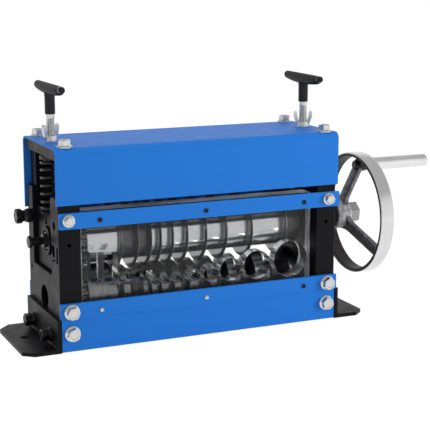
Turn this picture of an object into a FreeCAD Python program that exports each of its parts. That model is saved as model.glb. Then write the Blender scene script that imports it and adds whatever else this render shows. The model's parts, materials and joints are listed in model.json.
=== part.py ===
"""Hand crank wire stripper, a parametric FreeCAD model in millimetres.

The origin lies on the bench, at the middle between the two side plates and
under both shafts.  +X points at the handwheel, -Y at the side where the wire
goes in, and +Z up.  The driving dimensions stand in the spreadsheet "Sizes",
and each piece is its own object, written to parts/ under its label.
"""
import FreeCAD, Part
import math
import os

import Sketcher
from FreeCAD import Placement, Rotation, Vector

DIMENSIONS = {
    # side plates
    "plate_outer": 173.0,
    "plate_thick": 25.0,
    "plate_front": -60.0,
    "plate_back": 60.0,
    "shoulder_height": 172.5,
    "tongue_height": 215.0,
    "tongue_recess": 5.0,
    "front_tongue_back": -40.0,
    "slot_front": -30.0,
    "slot_back": 40.5,
    "slot_floor": 82.0,
    # shafts and their ball bearings
    "blade_axis": 116.0,
    "feed_axis": 50.0,
    "shaft_radius": 10.0,
    "bearing_radius": 21.0,
    "bearing_width": 12.0,
    "press_gap": 0.02,
    "running_gap": 0.05,
    # cutting drum and feed roller
    "drum_left": -133.0,
    "drum_right": 140.0,
    "collar_radius": 27.4,
    "blade_radius": 38.5,
    "blade_thick": 3.0,
    "roller_radius": 26.5,
    # gear pair
    "gear_left": -145.0,
    "gear_width": 11.0,
    "gear_module": 3.0,
    "gear_teeth": 22.0,
    # bearing blocks
    "block_recess": 5.0,
    "block_top": 150.0,
    "block_gap": 0.5,
    "block_floor_gap": 1.5,
    # blade pressure screws and their springs
    "screw_x": 160.5,
    "screw_y": 2.0,
    "screw_radius": 5.0,
    "spring_radius": 11.6,
    "spring_wire": 1.65,
    "spring_pitch": 9.2,
    "seat_bottom": 209.5,
    "stem_bottom": 260.0,
    "tee_height": 288.0,
    "right_tee_turn": 3.0,
    "tee_length": 98.0,
    "tee_radius": 6.3,
    # star knob on the left plate
    "knob_y": 47.0,
    "knob_height": 137.0,
    # top blocks and sheet cover
    "top_block_thick": 12.2,
    "sheet_thick": 2.0,
    "cover_left": -175.7,
    "cover_right": 174.5,
    "cover_front": -63.0,
    "cover_back": 64.8,
    "cover_top": 229.2,
    "cover_front_bottom": 166.6,
    "cover_back_bottom": 144.5,
    "cover_bend": 8.0,
    # bars and panels between the plates
    "bar_thick": 3.0,
    "strip_thick": 4.5,
    "upper_bar_bottom": 140.0,
    "upper_bar_top": 158.0,
    "strip_bottom": 38.0,
    "strip_top": 56.0,
    "panel_bottom": 1.0,
    "rear_bar_bottom": 125.5,
    "rear_bar_top": 143.5,
    # clear inlet plate
    "inlet_left": -147.0,
    "inlet_right": 139.0,
    "inlet_thick": 20.0,
    "inlet_bottom": 40.0,
    "inlet_top": 159.0,
    # feet
    "foot_thick": 4.5,
    "foot_height": 38.0,
    "foot_reach": 216.0,
    "foot_hole_x": 198.0,
    "foot_hole_y": 0.0,
    "foot_hole_radius": 5.5,
    # handwheel
    "sleeve_left": 173.5,
    "hub_left": 203.0,
    "hub_right": 220.0,
    "hub_radius": 18.5,
    "hub_bore": 8.0,
    "washer_thick": 3.0,
    "nut_thick": 13.5,
    "nut_across_flats": 24.0,
    "shaft_end": 239.5,
    "rim_left": 229.0,
    "rim_right": 247.0,
    "rim_radius": 76.4,
    "rim_thick": 5.0,
    "spoke_width": 15.2,
    "spoke_depth": 7.0,
    "wheel_turn": 7.0,
    "crank_radius": 62.4,
    "lug_left": 233.0,
    "lug_right": 242.6,
    "grip_radius": 8.0,
    "grip_left": 243.0,
    "grip_right": 335.0,
}

LEFT, RIGHT = -1, 1

# each blade works at the middle of one inlet opening
BLADE_PLACES = (-94.0, -74.0, -58.0, -46.0, -31.0, -13.0, 11.0, 37.0, 70.0, 115.0)
# round inlets: middle along X and diameter
ROUND_INLETS = ((-58.0, 8.0), (-46.0, 9.0), (-31.0, 11.0), (-12.0, 15.0),
                (10.0, 19.5), (34.5, 27.0), (69.0, 34.0), (113.0, 43.5))
# flat inlets: middle along X, width, bottom and top
FLAT_INLETS = ((-130.0, 14.0, 77.0, 111.0), (-113.0, 16.5, 76.0, 110.0),
               (-94.0, 18.0, 71.0, 82.0), (-74.0, 20.0, 72.0, 84.0))
# feed roller grooves: middle along X, half width and depth
GROOVES = ((-94.0, 6.0, 2.0), (-74.0, 6.5, 2.0), (-58.0, 3.0, 1.6), (-46.0, 3.4, 1.8), (-31.0, 4.2, 2.4),
           (-13.0, 5.6, 3.4), (11.0, 7.4, 4.6), (37.0, 9.5, 6.0), (70.0, 12.0, 8.0), (113.0, 15.5, 10.0))

DOC = FreeCAD.newDocument("wire_stripper")
NODES = []


class Size:
    """A length that knows its spreadsheet expression as well as its value."""

    def __init__(self, text, number):
        self.text = text
        self.number = number

    def join(self, sign, other, number, swapped=False):
        """One term of a sum or product, written and worked out."""
        other_text = other.text if isinstance(other, Size) else repr(float(other))
        first, second = (other_text, self.text) if swapped else (self.text, other_text)
        return Size(f"({first} {sign} {second})", number)

    def __add__(self, other):
        return self.join("+", other, self.number + plain(other))

    def __radd__(self, other):
        return self.join("+", other, plain(other) + self.number, swapped=True)

    def __sub__(self, other):
        return self.join("-", other, self.number - plain(other))

    def __rsub__(self, other):
        return self.join("-", other, plain(other) - self.number, swapped=True)

    def __mul__(self, other):
        return self.join("*", other, self.number * plain(other))

    def __rmul__(self, other):
        return self.join("*", other, plain(other) * self.number, swapped=True)

    def __truediv__(self, other):
        return self.join("/", other, self.number / plain(other))

    def __neg__(self):
        return Size(f"(-1 * {self.text})", -self.number)


class Sizes:
    """The spreadsheet, whose cells are read as attributes."""

    def __init__(self, dimensions):
        sheet = DOC.addObject("Spreadsheet::Sheet", "Sizes")
        for row, (alias, number) in enumerate(dimensions.items(), start=1):
            sheet.set(f"A{row}", alias)
            sheet.set(f"B{row}", str(number))
            sheet.setAlias(f"B{row}", alias)
            setattr(self, alias, Size(f"Sizes.{alias}", number))
        DOC.recompute()


def plain(size):
    """The value of a size, or the number itself."""
    return size.number if isinstance(size, Size) else float(size)


def bind(item, prop, size):
    """Binds a property to the sheet, or sets a fixed number."""
    if isinstance(size, Size):
        item.setExpression(prop, size.text)
    else:
        setattr(item, prop, size)


S = Sizes(DIMENSIONS)


# ---------------------------------------------------------------- sketches

PLANES = {"X": "YZ_Plane", "Y": "XZ_Plane", "Z": "XY_Plane"}


def new_body(label, export=True):
    """A body that may hold several solids; exported ones become nodes."""
    body = DOC.addObject("PartDesign::Body", label)
    body.Label = label
    body.AllowCompound = True
    if export:
        NODES.append(body)
    return body


def new_sketch(body, axis, offset=0.0):
    """A sketch across one axis of the body, moved along the plane's normal."""
    plane = next(item for item in body.Origin.OriginFeatures if item.Role == PLANES[axis])
    sketch = body.newObject("Sketcher::SketchObject", "Outline")
    sketch.AttachmentSupport = [(plane, "")]
    sketch.MapMode = "FlatFace"
    if isinstance(offset, Size):
        sketch.setExpression(".AttachmentOffset.Base.z", offset.text)
    else:
        sketch.AttachmentOffset = Placement(Vector(0, 0, offset), Rotation())
    return sketch


def constrain(sketch, kind, place, size):
    """Adds one dimension and binds it to the sheet."""
    index = sketch.addConstraint(Sketcher.Constraint(kind, *place, plain(size)))
    if isinstance(size, Size):
        sketch.setExpression(f"Constraints[{index}]", size.text)


def outline(*corners):
    """Drawing rule for a closed outline of straight edges."""
    def draw(sketch):
        first = sketch.GeometryCount
        count = len(corners)
        points = [Vector(plain(across), plain(along), 0) for across, along in corners]
        for index in range(count):
            sketch.addGeometry(Part.LineSegment(points[index], points[(index + 1) % count]))
        for index in range(count):
            after = first + (index + 1) % count
            sketch.addConstraint(Sketcher.Constraint("Coincident", first + index, 2, after, 1))
        for index, (across, along) in enumerate(corners):
            constrain(sketch, "DistanceX", (-1, 1, first + index, 1), across)
            constrain(sketch, "DistanceY", (-1, 1, first + index, 1), along)
    return draw


def rectangle(left, bottom, right, top):
    """Drawing rule for an upright rectangle."""
    return outline((left, bottom), (right, bottom), (right, top), (left, top))


def circle(across, along, radius):
    """Drawing rule for a circle."""
    def draw(sketch):
        middle = Vector(plain(across), plain(along), 0)
        index = sketch.addGeometry(Part.Circle(middle, Vector(0, 0, 1), plain(radius)))
        constrain(sketch, "Radius", (index,), radius)
        constrain(sketch, "DistanceX", (-1, 1, index, 3), across)
        constrain(sketch, "DistanceY", (-1, 1, index, 3), along)
    return draw


# ---------------------------------------------------------------- features

def sketch_between(body, axis, low, high, drawings):
    """A sketch from which a feature of length high - low fills low to high."""
    # the XZ plane's normal points along -Y
    sketch = new_sketch(body, axis, -high if axis == "Y" else low)
    for draw in drawings:
        draw(sketch)
    return sketch


def extrude(body, axis, low, high, *drawings):
    """Pads outlines from low to high along one axis."""
    sketch = sketch_between(body, axis, low, high, drawings)
    pad = body.newObject("PartDesign::Pad", "Pad")
    pad.Profile = sketch
    bind(pad, "Length", high - low)
    DOC.recompute()
    return pad


def carve(body, axis, low, high, *drawings):
    """Pockets outlines from low to high along one axis, and checks that it cuts."""
    before = body.Shape.Volume
    sketch = sketch_between(body, axis, low, high, drawings)
    pocket = body.newObject("PartDesign::Pocket", "Pocket")
    pocket.Profile = sketch
    pocket.Reversed = True
    bind(pocket, "Length", high - low)
    DOC.recompute()
    if body.Shape.Volume > before - 0.01:
        raise RuntimeError(f"a pocket of {body.Label} cuts nothing")
    return pocket


def turn(body, *drawings, about="H_Axis"):
    """Revolves outlines of the XZ plane about X (H_Axis) or Z (V_Axis)."""
    sketch = new_sketch(body, "Y")
    for draw in drawings:
        draw(sketch)
    revolution = body.newObject("PartDesign::Revolution", "Revolution")
    revolution.Profile = sketch
    revolution.ReferenceAxis = (sketch, [about])
    revolution.Angle = 360.0
    DOC.recompute()
    return revolution


def repeat_round(body, feature, axis_role, count):
    """Repeats a feature round one of the body's own axes."""
    axis = next(item for item in body.Origin.OriginFeatures if item.Role == axis_role)
    pattern = body.newObject("PartDesign::PolarPattern", "Pattern")
    pattern.Originals = [feature]
    pattern.Axis = (axis, [""])
    pattern.Angle = 360.0
    pattern.Occurrences = count
    body.Tip = pattern
    DOC.recompute()
    return pattern


def ease_edges(body, kind, size, test):
    """Fillets or chamfers the edges of the present shape that pass a test."""
    feature = body.Tip
    names = [f"Edge{index}" for index, edge in enumerate(feature.Shape.Edges, start=1) if test(edge)]
    if not names:
        raise RuntimeError(f"no edge of {body.Label} to ease")
    easing = body.newObject(f"PartDesign::{kind}", kind)
    easing.Base = (feature, names)
    bind(easing, "Radius" if kind == "Fillet" else "Size", size)
    DOC.recompute()
    return easing


def straight_along(edge, axis):
    """True for a straight edge that is parallel to an axis."""
    if not isinstance(edge.Curve, Part.Line):
        return False
    direction = edge.Curve.Direction
    return abs(abs(direction.dot(axis)) - 1) < 1e-6


def edge_at(edge, **place):
    """True where the middle of an edge has the given coordinates."""
    middle = edge.CenterOfMass
    return all(abs(getattr(middle, name) - plain(size)) < 0.01 for name, size in place.items())


def lift(body, height, angle=0.0):
    """Puts a body that is modelled about the X axis at its height, turned about X."""
    body.Placement = Placement(Vector(0, 0, plain(height)), Rotation(Vector(1, 0, 0), plain(angle)))
    if isinstance(height, Size):
        body.setExpression(".Placement.Base.z", height.text)


ALONG_X, ALONG_Y, ALONG_Z = Vector(1, 0, 0), Vector(0, 1, 0), Vector(0, 0, 1)


# ---------------------------------------------------------------- frame

def between(side, outer, inner):
    """The two X limits of a piece on one side, lower one first."""
    return (-outer, -inner) if side == LEFT else (inner, outer)


def side_plate(label, side):
    """Thick plate with an open slot for the bearing block and two tongues on top."""
    body = new_body(label)
    inner = S.plate_outer - S.plate_thick
    low, high = between(side, S.plate_outer, inner)
    extrude(body, "X", low, high, outline(
        (S.plate_front, 0), (S.plate_back, 0), (S.plate_back, S.tongue_height),
        (S.slot_back, S.tongue_height), (S.slot_back, S.slot_floor), (S.slot_front, S.slot_floor),
        (S.slot_front, S.shoulder_height), (S.front_tongue_back, S.shoulder_height),
        (S.front_tongue_back, S.tongue_height), (S.plate_front, S.tongue_height)))
    # the tongues stand back from the plate's outer face
    low, high = between(side, S.plate_outer + 1, S.plate_outer - S.tongue_recess)
    carve(body, "X", low, high,
          rectangle(S.plate_front - 1, S.shoulder_height, S.plate_back + 1, S.tongue_height + 1))
    corner = {"y": S.slot_front, "z": S.shoulder_height}
    ease_edges(body, "Fillet", 7.0, lambda edge: straight_along(edge, ALONG_X) and edge_at(edge, **corner))
    outer_face = side * plain(S.plate_outer)
    ease_edges(body, "Chamfer", 0.8, lambda edge: edge_at(edge, x=outer_face))
    # guide window of the block's retaining bar, with the bar's post left standing
    low, high = between(side, S.plate_outer + 1, S.plate_outer - 8)
    carve(body, "X", low, high,
          rectangle(-44.0, 100.0, S.slot_front + 1, 118.0), rectangle(-56.0, 100.0, -50.0, 118.0))
    # lower bearing, through hole of its shaft, lightening hole and oil hole
    low, high = between(side, S.plate_outer + 1, inner - 1)
    carve(body, "X", low, high,
          circle(0, S.feed_axis, 14.0), circle(-43.0, 141.0, 5.0), circle(50.5, 75.6, 2.5))
    low, high = between(side, inner + S.bearing_width, inner - 1)
    carve(body, "X", low, high, circle(0, S.feed_axis, S.bearing_radius + S.press_gap))
    # threaded holes: front, back, foot and tongue screws
    front_holes = [circle(side * 162.0, 149.5, 3.03), circle(side * 161.0, 46.5, 4.03),
                   circle(side * 160.5, 21.5, 4.03), circle(side * 161.0, 121.5, 2.2)]
    carve(body, "Y", S.plate_front - 1, S.plate_front + 20, *front_holes)
    back_holes = [circle(side * 160.5, height, 4.03) for height in (14.0, 44.0, 134.5)]
    carve(body, "Y", S.plate_back - 19, S.plate_back + 1, *back_holes)
    low, high = between(side, S.plate_outer + 1, S.plate_outer - 18)
    foot_holes = [circle(depth, 15.0, 4.03) for depth in (-33.0, 35.0)]
    carve(body, "X", low, high, *foot_holes)
    if side == LEFT:
        low, high = between(side, S.plate_outer + 1, S.plate_outer - 7.4)
        carve(body, "X", low, high, circle(S.knob_y, S.knob_height, 3.05))
    carve(body, "Z", S.tongue_height - 20, S.tongue_height + 1,
          circle(side * 161.0, -51.0, 4.03), circle(side * 161.0, 52.0, 4.03))
    return body


def top_block(label, side):
    """Block that ties the tongues and carries the pressure screw's thread."""
    body = new_body(label)
    low, high = between(side, S.plate_outer, S.plate_outer - S.plate_thick)
    top = S.tongue_height + S.top_block_thick
    extrude(body, "X", low, high, rectangle(S.plate_front, S.tongue_height, S.plate_back, top))
    ease_edges(body, "Fillet", 6.5, lambda edge: straight_along(edge, ALONG_X) and edge_at(edge, z=top))
    screw_x = side * S.screw_x
    carve(body, "Z", S.tongue_height - 1, top + 1, circle(screw_x, S.screw_y, S.screw_radius + S.running_gap),
          circle(side * 161.0, -51.0, 4.3), circle(side * 161.0, 52.0, 4.3))
    return body


def top_cover():
    """Folded sheet over the drum, open at both ends and underneath."""
    body = new_body("top_cover")
    thick = S.sheet_thick
    extrude(body, "X", S.cover_left, S.cover_right, outline(
        (S.cover_front, S.cover_front_bottom), (S.cover_front, S.cover_top), (S.cover_back, S.cover_top),
        (S.cover_back, S.cover_back_bottom), (S.cover_back - thick, S.cover_back_bottom),
        (S.cover_back - thick, S.cover_top - thick), (S.cover_front + thick, S.cover_top - thick),
        (S.cover_front + thick, S.cover_front_bottom)))
    under = S.cover_top - thick
    ease_edges(body, "Fillet", S.cover_bend,
               lambda edge: straight_along(edge, ALONG_X) and edge_at(edge, z=S.cover_top))
    ease_edges(body, "Fillet", S.cover_bend - thick,
               lambda edge: straight_along(edge, ALONG_X) and edge_at(edge, z=under))
    holes = []
    for side in (LEFT, RIGHT):
        holes.append(circle(side * S.screw_x, S.screw_y, S.screw_radius + 1))
        holes.append(circle(side * 161.0, -51.0, 4.5))
        holes.append(circle(side * 161.0, 52.0, 4.5))
    carve(body, "Z", under - 1, S.cover_top + 1, *holes)
    return body


def flat_bar(label, left, right, back, thick, bottom, top, holes, corner=2.0):
    """Flat bar or panel across both plates; its back face lies on them."""
    body = new_body(label)
    low, high = (back - thick, back) if plain(back) < 0 else (back, back + thick)
    extrude(body, "Y", low, high, rectangle(left, bottom, right, top),
            *[circle(across, height, radius) for across, height, radius in holes])
    ends = [plain(left), plain(right)]
    ease_edges(body, "Fillet", corner, lambda edge: straight_along(edge, ALONG_Y)
               and min(abs(edge.CenterOfMass.x - end) for end in ends) < 0.01)
    return body


WINDOW_SCREW_X = (-126.0, 2.0, 129.0)


def bars_and_panels():
    """Front and back sheet strips that tie the plates together."""
    screw_holes = [(across, 148.0, 2.1) for across in WINDOW_SCREW_X]
    flat_bar("front_upper_bar", -173.0, 177.0, S.plate_front, S.bar_thick,
             S.upper_bar_bottom, S.upper_bar_top,
             screw_holes + [(-162.0, 149.5, 3.3), (162.0, 149.5, 3.3)])
    screw_holes = [(across, 45.7, 2.1) for across in WINDOW_SCREW_X]
    flat_bar("front_lower_bar", -174.0, 174.0, S.plate_front, S.strip_thick, S.strip_bottom, S.strip_top,
             screw_holes + [(-161.0, 46.5, 4.3), (161.0, 46.5, 4.3)], corner=1.0)
    flat_bar("front_lower_panel", -172.5, 172.0, S.plate_front, S.bar_thick, S.panel_bottom, S.strip_bottom,
             [(-160.5, 21.5, 4.3), (160.5, 21.5, 4.3)], corner=1.0)
    flat_bar("rear_lower_panel", -173.0, 173.0, S.plate_back, S.bar_thick, S.panel_bottom, S.strip_top,
             [(side * 160.5, height, 4.3) for side in (LEFT, RIGHT) for height in (14.0, 44.0)])
    flat_bar("rear_upper_bar", -173.0, 173.0, S.plate_back, S.bar_thick,
             S.rear_bar_bottom, S.rear_bar_top, [(side * 160.5, 134.5, 4.3) for side in (LEFT, RIGHT)])


def inlet_plate():
    """Thick clear plate whose openings guide wires of each size to their blade."""
    body = new_body("inlet_plate")
    openings = []
    for middle, diameter in ROUND_INLETS:
        # the openings share a line a little over their bottoms
        openings.append(circle(middle, 66.5 + 0.31 * diameter, diameter / 2))
    for middle, width, bottom, top in FLAT_INLETS:
        openings.append(rectangle(middle - width / 2, bottom, middle + width / 2, top))
    back = S.plate_front + S.inlet_thick
    extrude(body, "Y", S.plate_front, back,
            rectangle(S.inlet_left, S.inlet_bottom, S.inlet_right, S.inlet_top), *openings)
    holes = [circle(across, height, 2.02) for across in WINDOW_SCREW_X for height in (45.7, 148.0)]
    carve(body, "Y", S.plate_front - 1, S.plate_front + 10, *holes)
    return body


def foot(label, side):
    """Bent steel angle with chamfered toes, bolted to the plate and to a bench."""
    body = new_body(label)
    thick = S.foot_thick
    low, high = between(side, S.plate_outer + thick, S.plate_outer)
    front, back = -63.0, 59.0
    extrude(body, "X", low, high, rectangle(front, 0, back, S.foot_height),
            circle(-33.0, 15.0, 4.3), circle(35.0, 15.0, 4.3))
    heel, toe = side * (S.plate_outer + thick), side * S.foot_reach
    extrude(body, "Z", 0.0, thick, outline(
        (heel, front), (toe - side * 12, front), (toe, front + 10), (toe, back - 15), (toe - side * 14, back),
        (heel, back)), circle(side * S.foot_hole_x, S.foot_hole_y, S.foot_hole_radius))
    bend = {"x": side * (S.plate_outer + thick), "z": thick}
    ease_edges(body, "Fillet", 2.4, lambda edge: straight_along(edge, ALONG_Y) and edge_at(edge, **bend))
    return body


# ---------------------------------------------------------------- fasteners

def flange_bolt(name, thread, flange, across_flats, head_height, length):
    """Hexagon bolt with a flange, its seat at z = 0 and its shank along -Z."""
    body = new_body(name, export=False)
    turn(body, outline((0, -length), (thread - 0.6, -length), (thread, 0.6 - length), (thread, 0),
                       (flange, 0), (flange, 0.8), (flange - 2.2, 2.2), (0, 2.2)), about="V_Axis")
    corner = across_flats / math.sqrt(3)
    hexagon = [(corner * math.cos(math.radians(60 * index)), corner * math.sin(math.radians(60 * index)))
               for index in range(6)]
    extrude(body, "Z", 1.0, head_height, outline(*hexagon))
    return body


def group(label, master, places):
    """Separate copies of one fastener; each place is a seat point and an outward axis."""
    solids = []
    for seat, outward in places:
        solid = master.Shape.copy()
        solid.Placement = Placement(Vector(*seat), Rotation(Vector(0, 0, 1), outward))
        solids.append(solid)
    node = DOC.addObject("Part::Feature", label)
    node.Label = label
    node.Shape = Part.makeCompound(solids)
    NODES.append(node)
    return node


def fasteners():
    """All screws of the frame, one group of each kind."""
    front, back, up = Vector(0, -1, 0), Vector(0, 1, 0), Vector(0, 0, 1)
    bar_face = plain(S.plate_front - S.bar_thick)
    strip_face = plain(S.plate_front - S.strip_thick)
    rear_face = plain(S.plate_back + S.bar_thick)
    small = flange_bolt("small_bolt", 3.0, 7.1, 10.0, 7.0, 18.0)
    large = flange_bolt("large_bolt", 4.0, 8.95, 13.0, 8.5, 20.0)
    black = flange_bolt("foot_bolt", 4.0, 8.0, 13.0, 11.0, 20.0)
    group("upper_bar_bolts", small, [((side * 162.0, bar_face, 149.5), front) for side in (LEFT, RIGHT)])
    lower = [((side * 161.0, strip_face, 46.5), front) for side in (LEFT, RIGHT)]
    lower += [((side * 160.5, bar_face, 21.5), front) for side in (LEFT, RIGHT)]
    group("front_panel_bolts", large, lower)
    group("rear_bolts", large, [((side * 160.5, rear_face, height), back)
                                for side in (LEFT, RIGHT) for height in (14.0, 44.0, 134.5)])
    group("cover_bolts", large, [((side * 161.0, depth, plain(S.cover_top)), up)
                                 for side in (LEFT, RIGHT) for depth in (-51.0, 52.0)])
    foot_face = plain(S.plate_outer + S.foot_thick)
    group("foot_bolts", black, [((side * foot_face, depth, 15.0), Vector(side, 0, 0))
                                for side in (LEFT, RIGHT) for depth in (-33.0, 35.0)])
    pan = new_body("window_screw", export=False)
    turn(pan, outline((0, -11.0), (2, -11.0), (2, 0), (2.7, 0), (2.7, 0.9), (1.7, 2.0), (0, 2.0)),
         about="V_Axis")
    upper = [((across, bar_face, 148.0), front) for across in WINDOW_SCREW_X]
    lower = [((across, strip_face, 45.7), front) for across in WINDOW_SCREW_X]
    group("window_screws_black", pan, upper + lower[2:])
    group("window_screws_bright", pan, lower[:2])


# ---------------------------------------------------------------- drum and roller

def bearing_block(label, side):
    """Block that slides in the plate's slot and carries a ball bearing."""
    body = new_body(label)
    inner = S.plate_outer - S.plate_thick
    outer = S.plate_outer - S.block_recess
    low, high = between(side, outer, inner)
    front, back = S.slot_front + S.block_gap, S.slot_back - S.block_gap
    bottom = S.slot_floor + S.block_floor_gap
    extrude(body, "X", low, high, rectangle(front, bottom, back, S.block_top))
    ease_edges(body, "Chamfer", 1.5, lambda edge: straight_along(edge, ALONG_X) and edge_at(edge, z=bottom))
    # round boss about the shaft, and a round lip that carries the whole spring
    low, high = between(side, outer + 2.5, outer)
    extrude(body, "X", low, high, circle(0, S.blade_axis, 17.0))
    extrude(body, "Z", S.block_top - 3, S.block_top, circle(side * S.screw_x, S.screw_y, 13.4))
    extrude(body, "Z", S.block_top, S.block_top + 5, circle(side * S.screw_x, S.screw_y, 9.3))
    # groove of the retaining bar in the outer face, and a three-sided oil pocket
    low, high = between(side, outer + 1, outer - 4)
    carve(body, "X", low, high, rectangle(front - 1, 101.0, -19.0, 117.0),
          outline((-1.0, 134.5), (8.0, 134.5), (3.5, 143.0)))
    low, high = between(side, outer + 3, inner - 1)
    carve(body, "X", low, high, circle(0, S.blade_axis, S.shaft_radius + 2))
    low, high = between(side, inner + S.bearing_width, inner - 1)
    carve(body, "X", low, high, circle(0, S.blade_axis, S.bearing_radius + S.press_gap))
    return body


def ball_bearing(label, side, height):
    """Sealed ball bearing, made as one ring with its seal grooves."""
    body = new_body(label)
    inner = S.plate_outer - S.plate_thick
    low, high = between(side, inner + S.bearing_width, inner)
    bore, outer = S.shaft_radius + S.running_gap, S.bearing_radius
    turn(body, outline((low, bore), (low, 14.0), (low + 0.8, 14.0), (low + 0.8, 17.5), (low, 17.5),
                       (low, outer), (high, outer), (high, 17.5), (high - 0.8, 17.5), (high - 0.8, 14.0),
                       (high, 14.0), (high, bore)))
    lift(body, height)
    return body


def blade_shaft():
    """Main shaft: bearing length, then the wheel's seat and thread."""
    body = new_body("blade_shaft")
    seat = S.hub_bore - S.press_gap
    turn(body, outline((-174.0, 0), (-174.0, 8.0), (-170.0, 8.0), (-170.0, S.shaft_radius),
                       (S.sleeve_left, S.shaft_radius), (S.sleeve_left, seat),
                       (S.shaft_end - 1.5, seat), (S.shaft_end, seat - 1.5), (S.shaft_end, 0)))
    carve(body, "X", -175.0, -155.0, circle(0, 0, 3.02))
    lift(body, S.blade_axis)
    return body


def drum():
    """Ten circular blades with spacer collars between them."""
    half = S.blade_thick / 2
    bore = S.shaft_radius + S.press_gap
    for number, place in enumerate(BLADE_PLACES, start=1):
        body = new_body(f"blade_{number}")
        turn(body, outline((place - half, bore), (place - half, S.blade_radius - 4),
                           (place - 0.2, S.blade_radius), (place + 0.2, S.blade_radius),
                           (place + half, S.blade_radius - 4), (place + half, bore)))
        lift(body, S.blade_axis)
    collars = new_body("spacer_collars")
    starts = [S.drum_left] + [place + half for place in BLADE_PLACES]
    ends = [place - half for place in BLADE_PLACES] + [S.drum_right]
    turn(collars, *[rectangle(start, bore, end, S.collar_radius) for start, end in zip(starts, ends)])
    lift(collars, S.blade_axis)


def feed_shaft_and_roller():
    """Lower shaft with its grooved roller."""
    shaft = new_body("feed_shaft")
    turn(shaft, outline((-159.0, 0), (-159.0, 9.0), (-158.0, S.shaft_radius), (158.0, S.shaft_radius),
                        (159.0, 9.0), (159.0, 0)))
    lift(shaft, S.feed_axis)
    roller = new_body("feed_roller")
    bore = S.shaft_radius + S.press_gap
    corners = [(S.drum_left, bore), (S.drum_left, S.roller_radius)]
    for middle, half, depth in GROOVES:
        corners += [(middle - half, S.roller_radius), (middle - half / 3, S.roller_radius - depth),
                    (middle + half / 3, S.roller_radius - depth), (middle + half, S.roller_radius)]
    corners += [(S.drum_right, S.roller_radius), (S.drum_right, bore)]
    turn(roller, outline(*corners))
    lift(roller, S.feed_axis)


def flank_angle(base, radius, half_angle):
    """Angle from a tooth's middle to its involute flank; half_angle is the one at the base circle."""
    roll = math.sqrt(max(radius * radius / (base * base) - 1, 0))
    return half_angle - (roll - math.atan(roll))


def gear(label, height, turned):
    """Spur gear with involute teeth, its axis along X."""
    module, teeth = plain(S.gear_module), int(plain(S.gear_teeth))
    pitch = module * teeth / 2
    base = pitch * math.cos(math.radians(20))
    tip, root = pitch + 0.95 * module, pitch - 1.25 * module
    backlash = 0.012
    pitch_roll = math.sqrt(pitch * pitch / (base * base) - 1)
    half_angle = math.pi / (2 * teeth) - backlash / 2 + (pitch_roll - math.atan(pitch_roll))
    flank = [base + (tip - base) * step / 3 for step in range(4)]
    corners = []
    for tooth in range(teeth):
        middle = 2 * math.pi * tooth / teeth
        rising = [(radius, middle - flank_angle(base, radius, half_angle)) for radius in flank]
        falling = [(radius, 2 * middle - angle) for radius, angle in reversed(rising)]
        foot_angle = middle - half_angle
        for radius, angle in [(root, foot_angle)] + rising + falling + [(root, middle + half_angle)]:
            corners.append(Vector(0, radius * math.sin(angle), radius * math.cos(angle)))
    wire = Part.makePolygon(corners + corners[:1])
    blank = Part.Face(wire).extrude(Vector(plain(S.gear_width), 0, 0))
    bore = Part.makeCylinder(plain(S.shaft_radius + S.press_gap), 60, Vector(-20, 0, 0), ALONG_X)
    recess = Part.makeCylinder(24, 2, Vector(0, 0, 0), ALONG_X).cut(
        Part.makeCylinder(15, 2, Vector(0, 0, 0), ALONG_X))
    node = DOC.addObject("Part::Feature", label)
    node.Label = label
    node.Shape = blank.cut(bore).cut(recess)
    node.Placement = Placement(Vector(plain(S.gear_left), 0, plain(height)), Rotation(ALONG_X, turned))
    NODES.append(node)
    return node


def gears():
    """The upper gear drives the lower one, half a tooth out of step."""
    half_tooth = 180.0 / plain(S.gear_teeth)
    gear("upper_gear", S.blade_axis, 0.0)
    gear("lower_gear", S.feed_axis, half_tooth)


# ---------------------------------------------------------------- handwheel

def handwheel():
    """Cast three-spoke wheel, dished away from the plate, with a lug for the crank grip."""
    body = new_body("handwheel")
    inside = S.rim_radius - S.rim_thick
    turn(body, rectangle(S.hub_left, S.hub_bore, S.hub_right, S.hub_radius),
         outline((S.rim_left, inside), (S.rim_left, S.rim_radius - 1), (S.rim_left + 1, S.rim_radius),
                 (S.rim_right - 1, S.rim_radius), (S.rim_right, S.rim_radius - 1), (S.rim_right, inside)))
    half = S.spoke_width / 2
    spoke = extrude(body, "Y", -half, half, outline(
        (S.hub_right - S.spoke_depth, S.hub_radius - 2), (S.hub_right, S.hub_radius - 2),
        (S.rim_right - 3, inside + 1), (S.rim_right - 3 - S.spoke_depth, inside + 1)))
    repeat_round(body, spoke, "X_Axis", 3)
    extrude(body, "X", S.lug_left, S.lug_right, circle(0, S.crank_radius, 8.2))
    carve(body, "X", S.lug_left - 1, S.lug_right + 1, circle(0, S.crank_radius, 4.02))
    carve(body, "X", S.lug_left - 10, S.lug_left, circle(0, S.crank_radius, 6.2))
    lift(body, S.blade_axis, S.wheel_turn)
    return body


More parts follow.
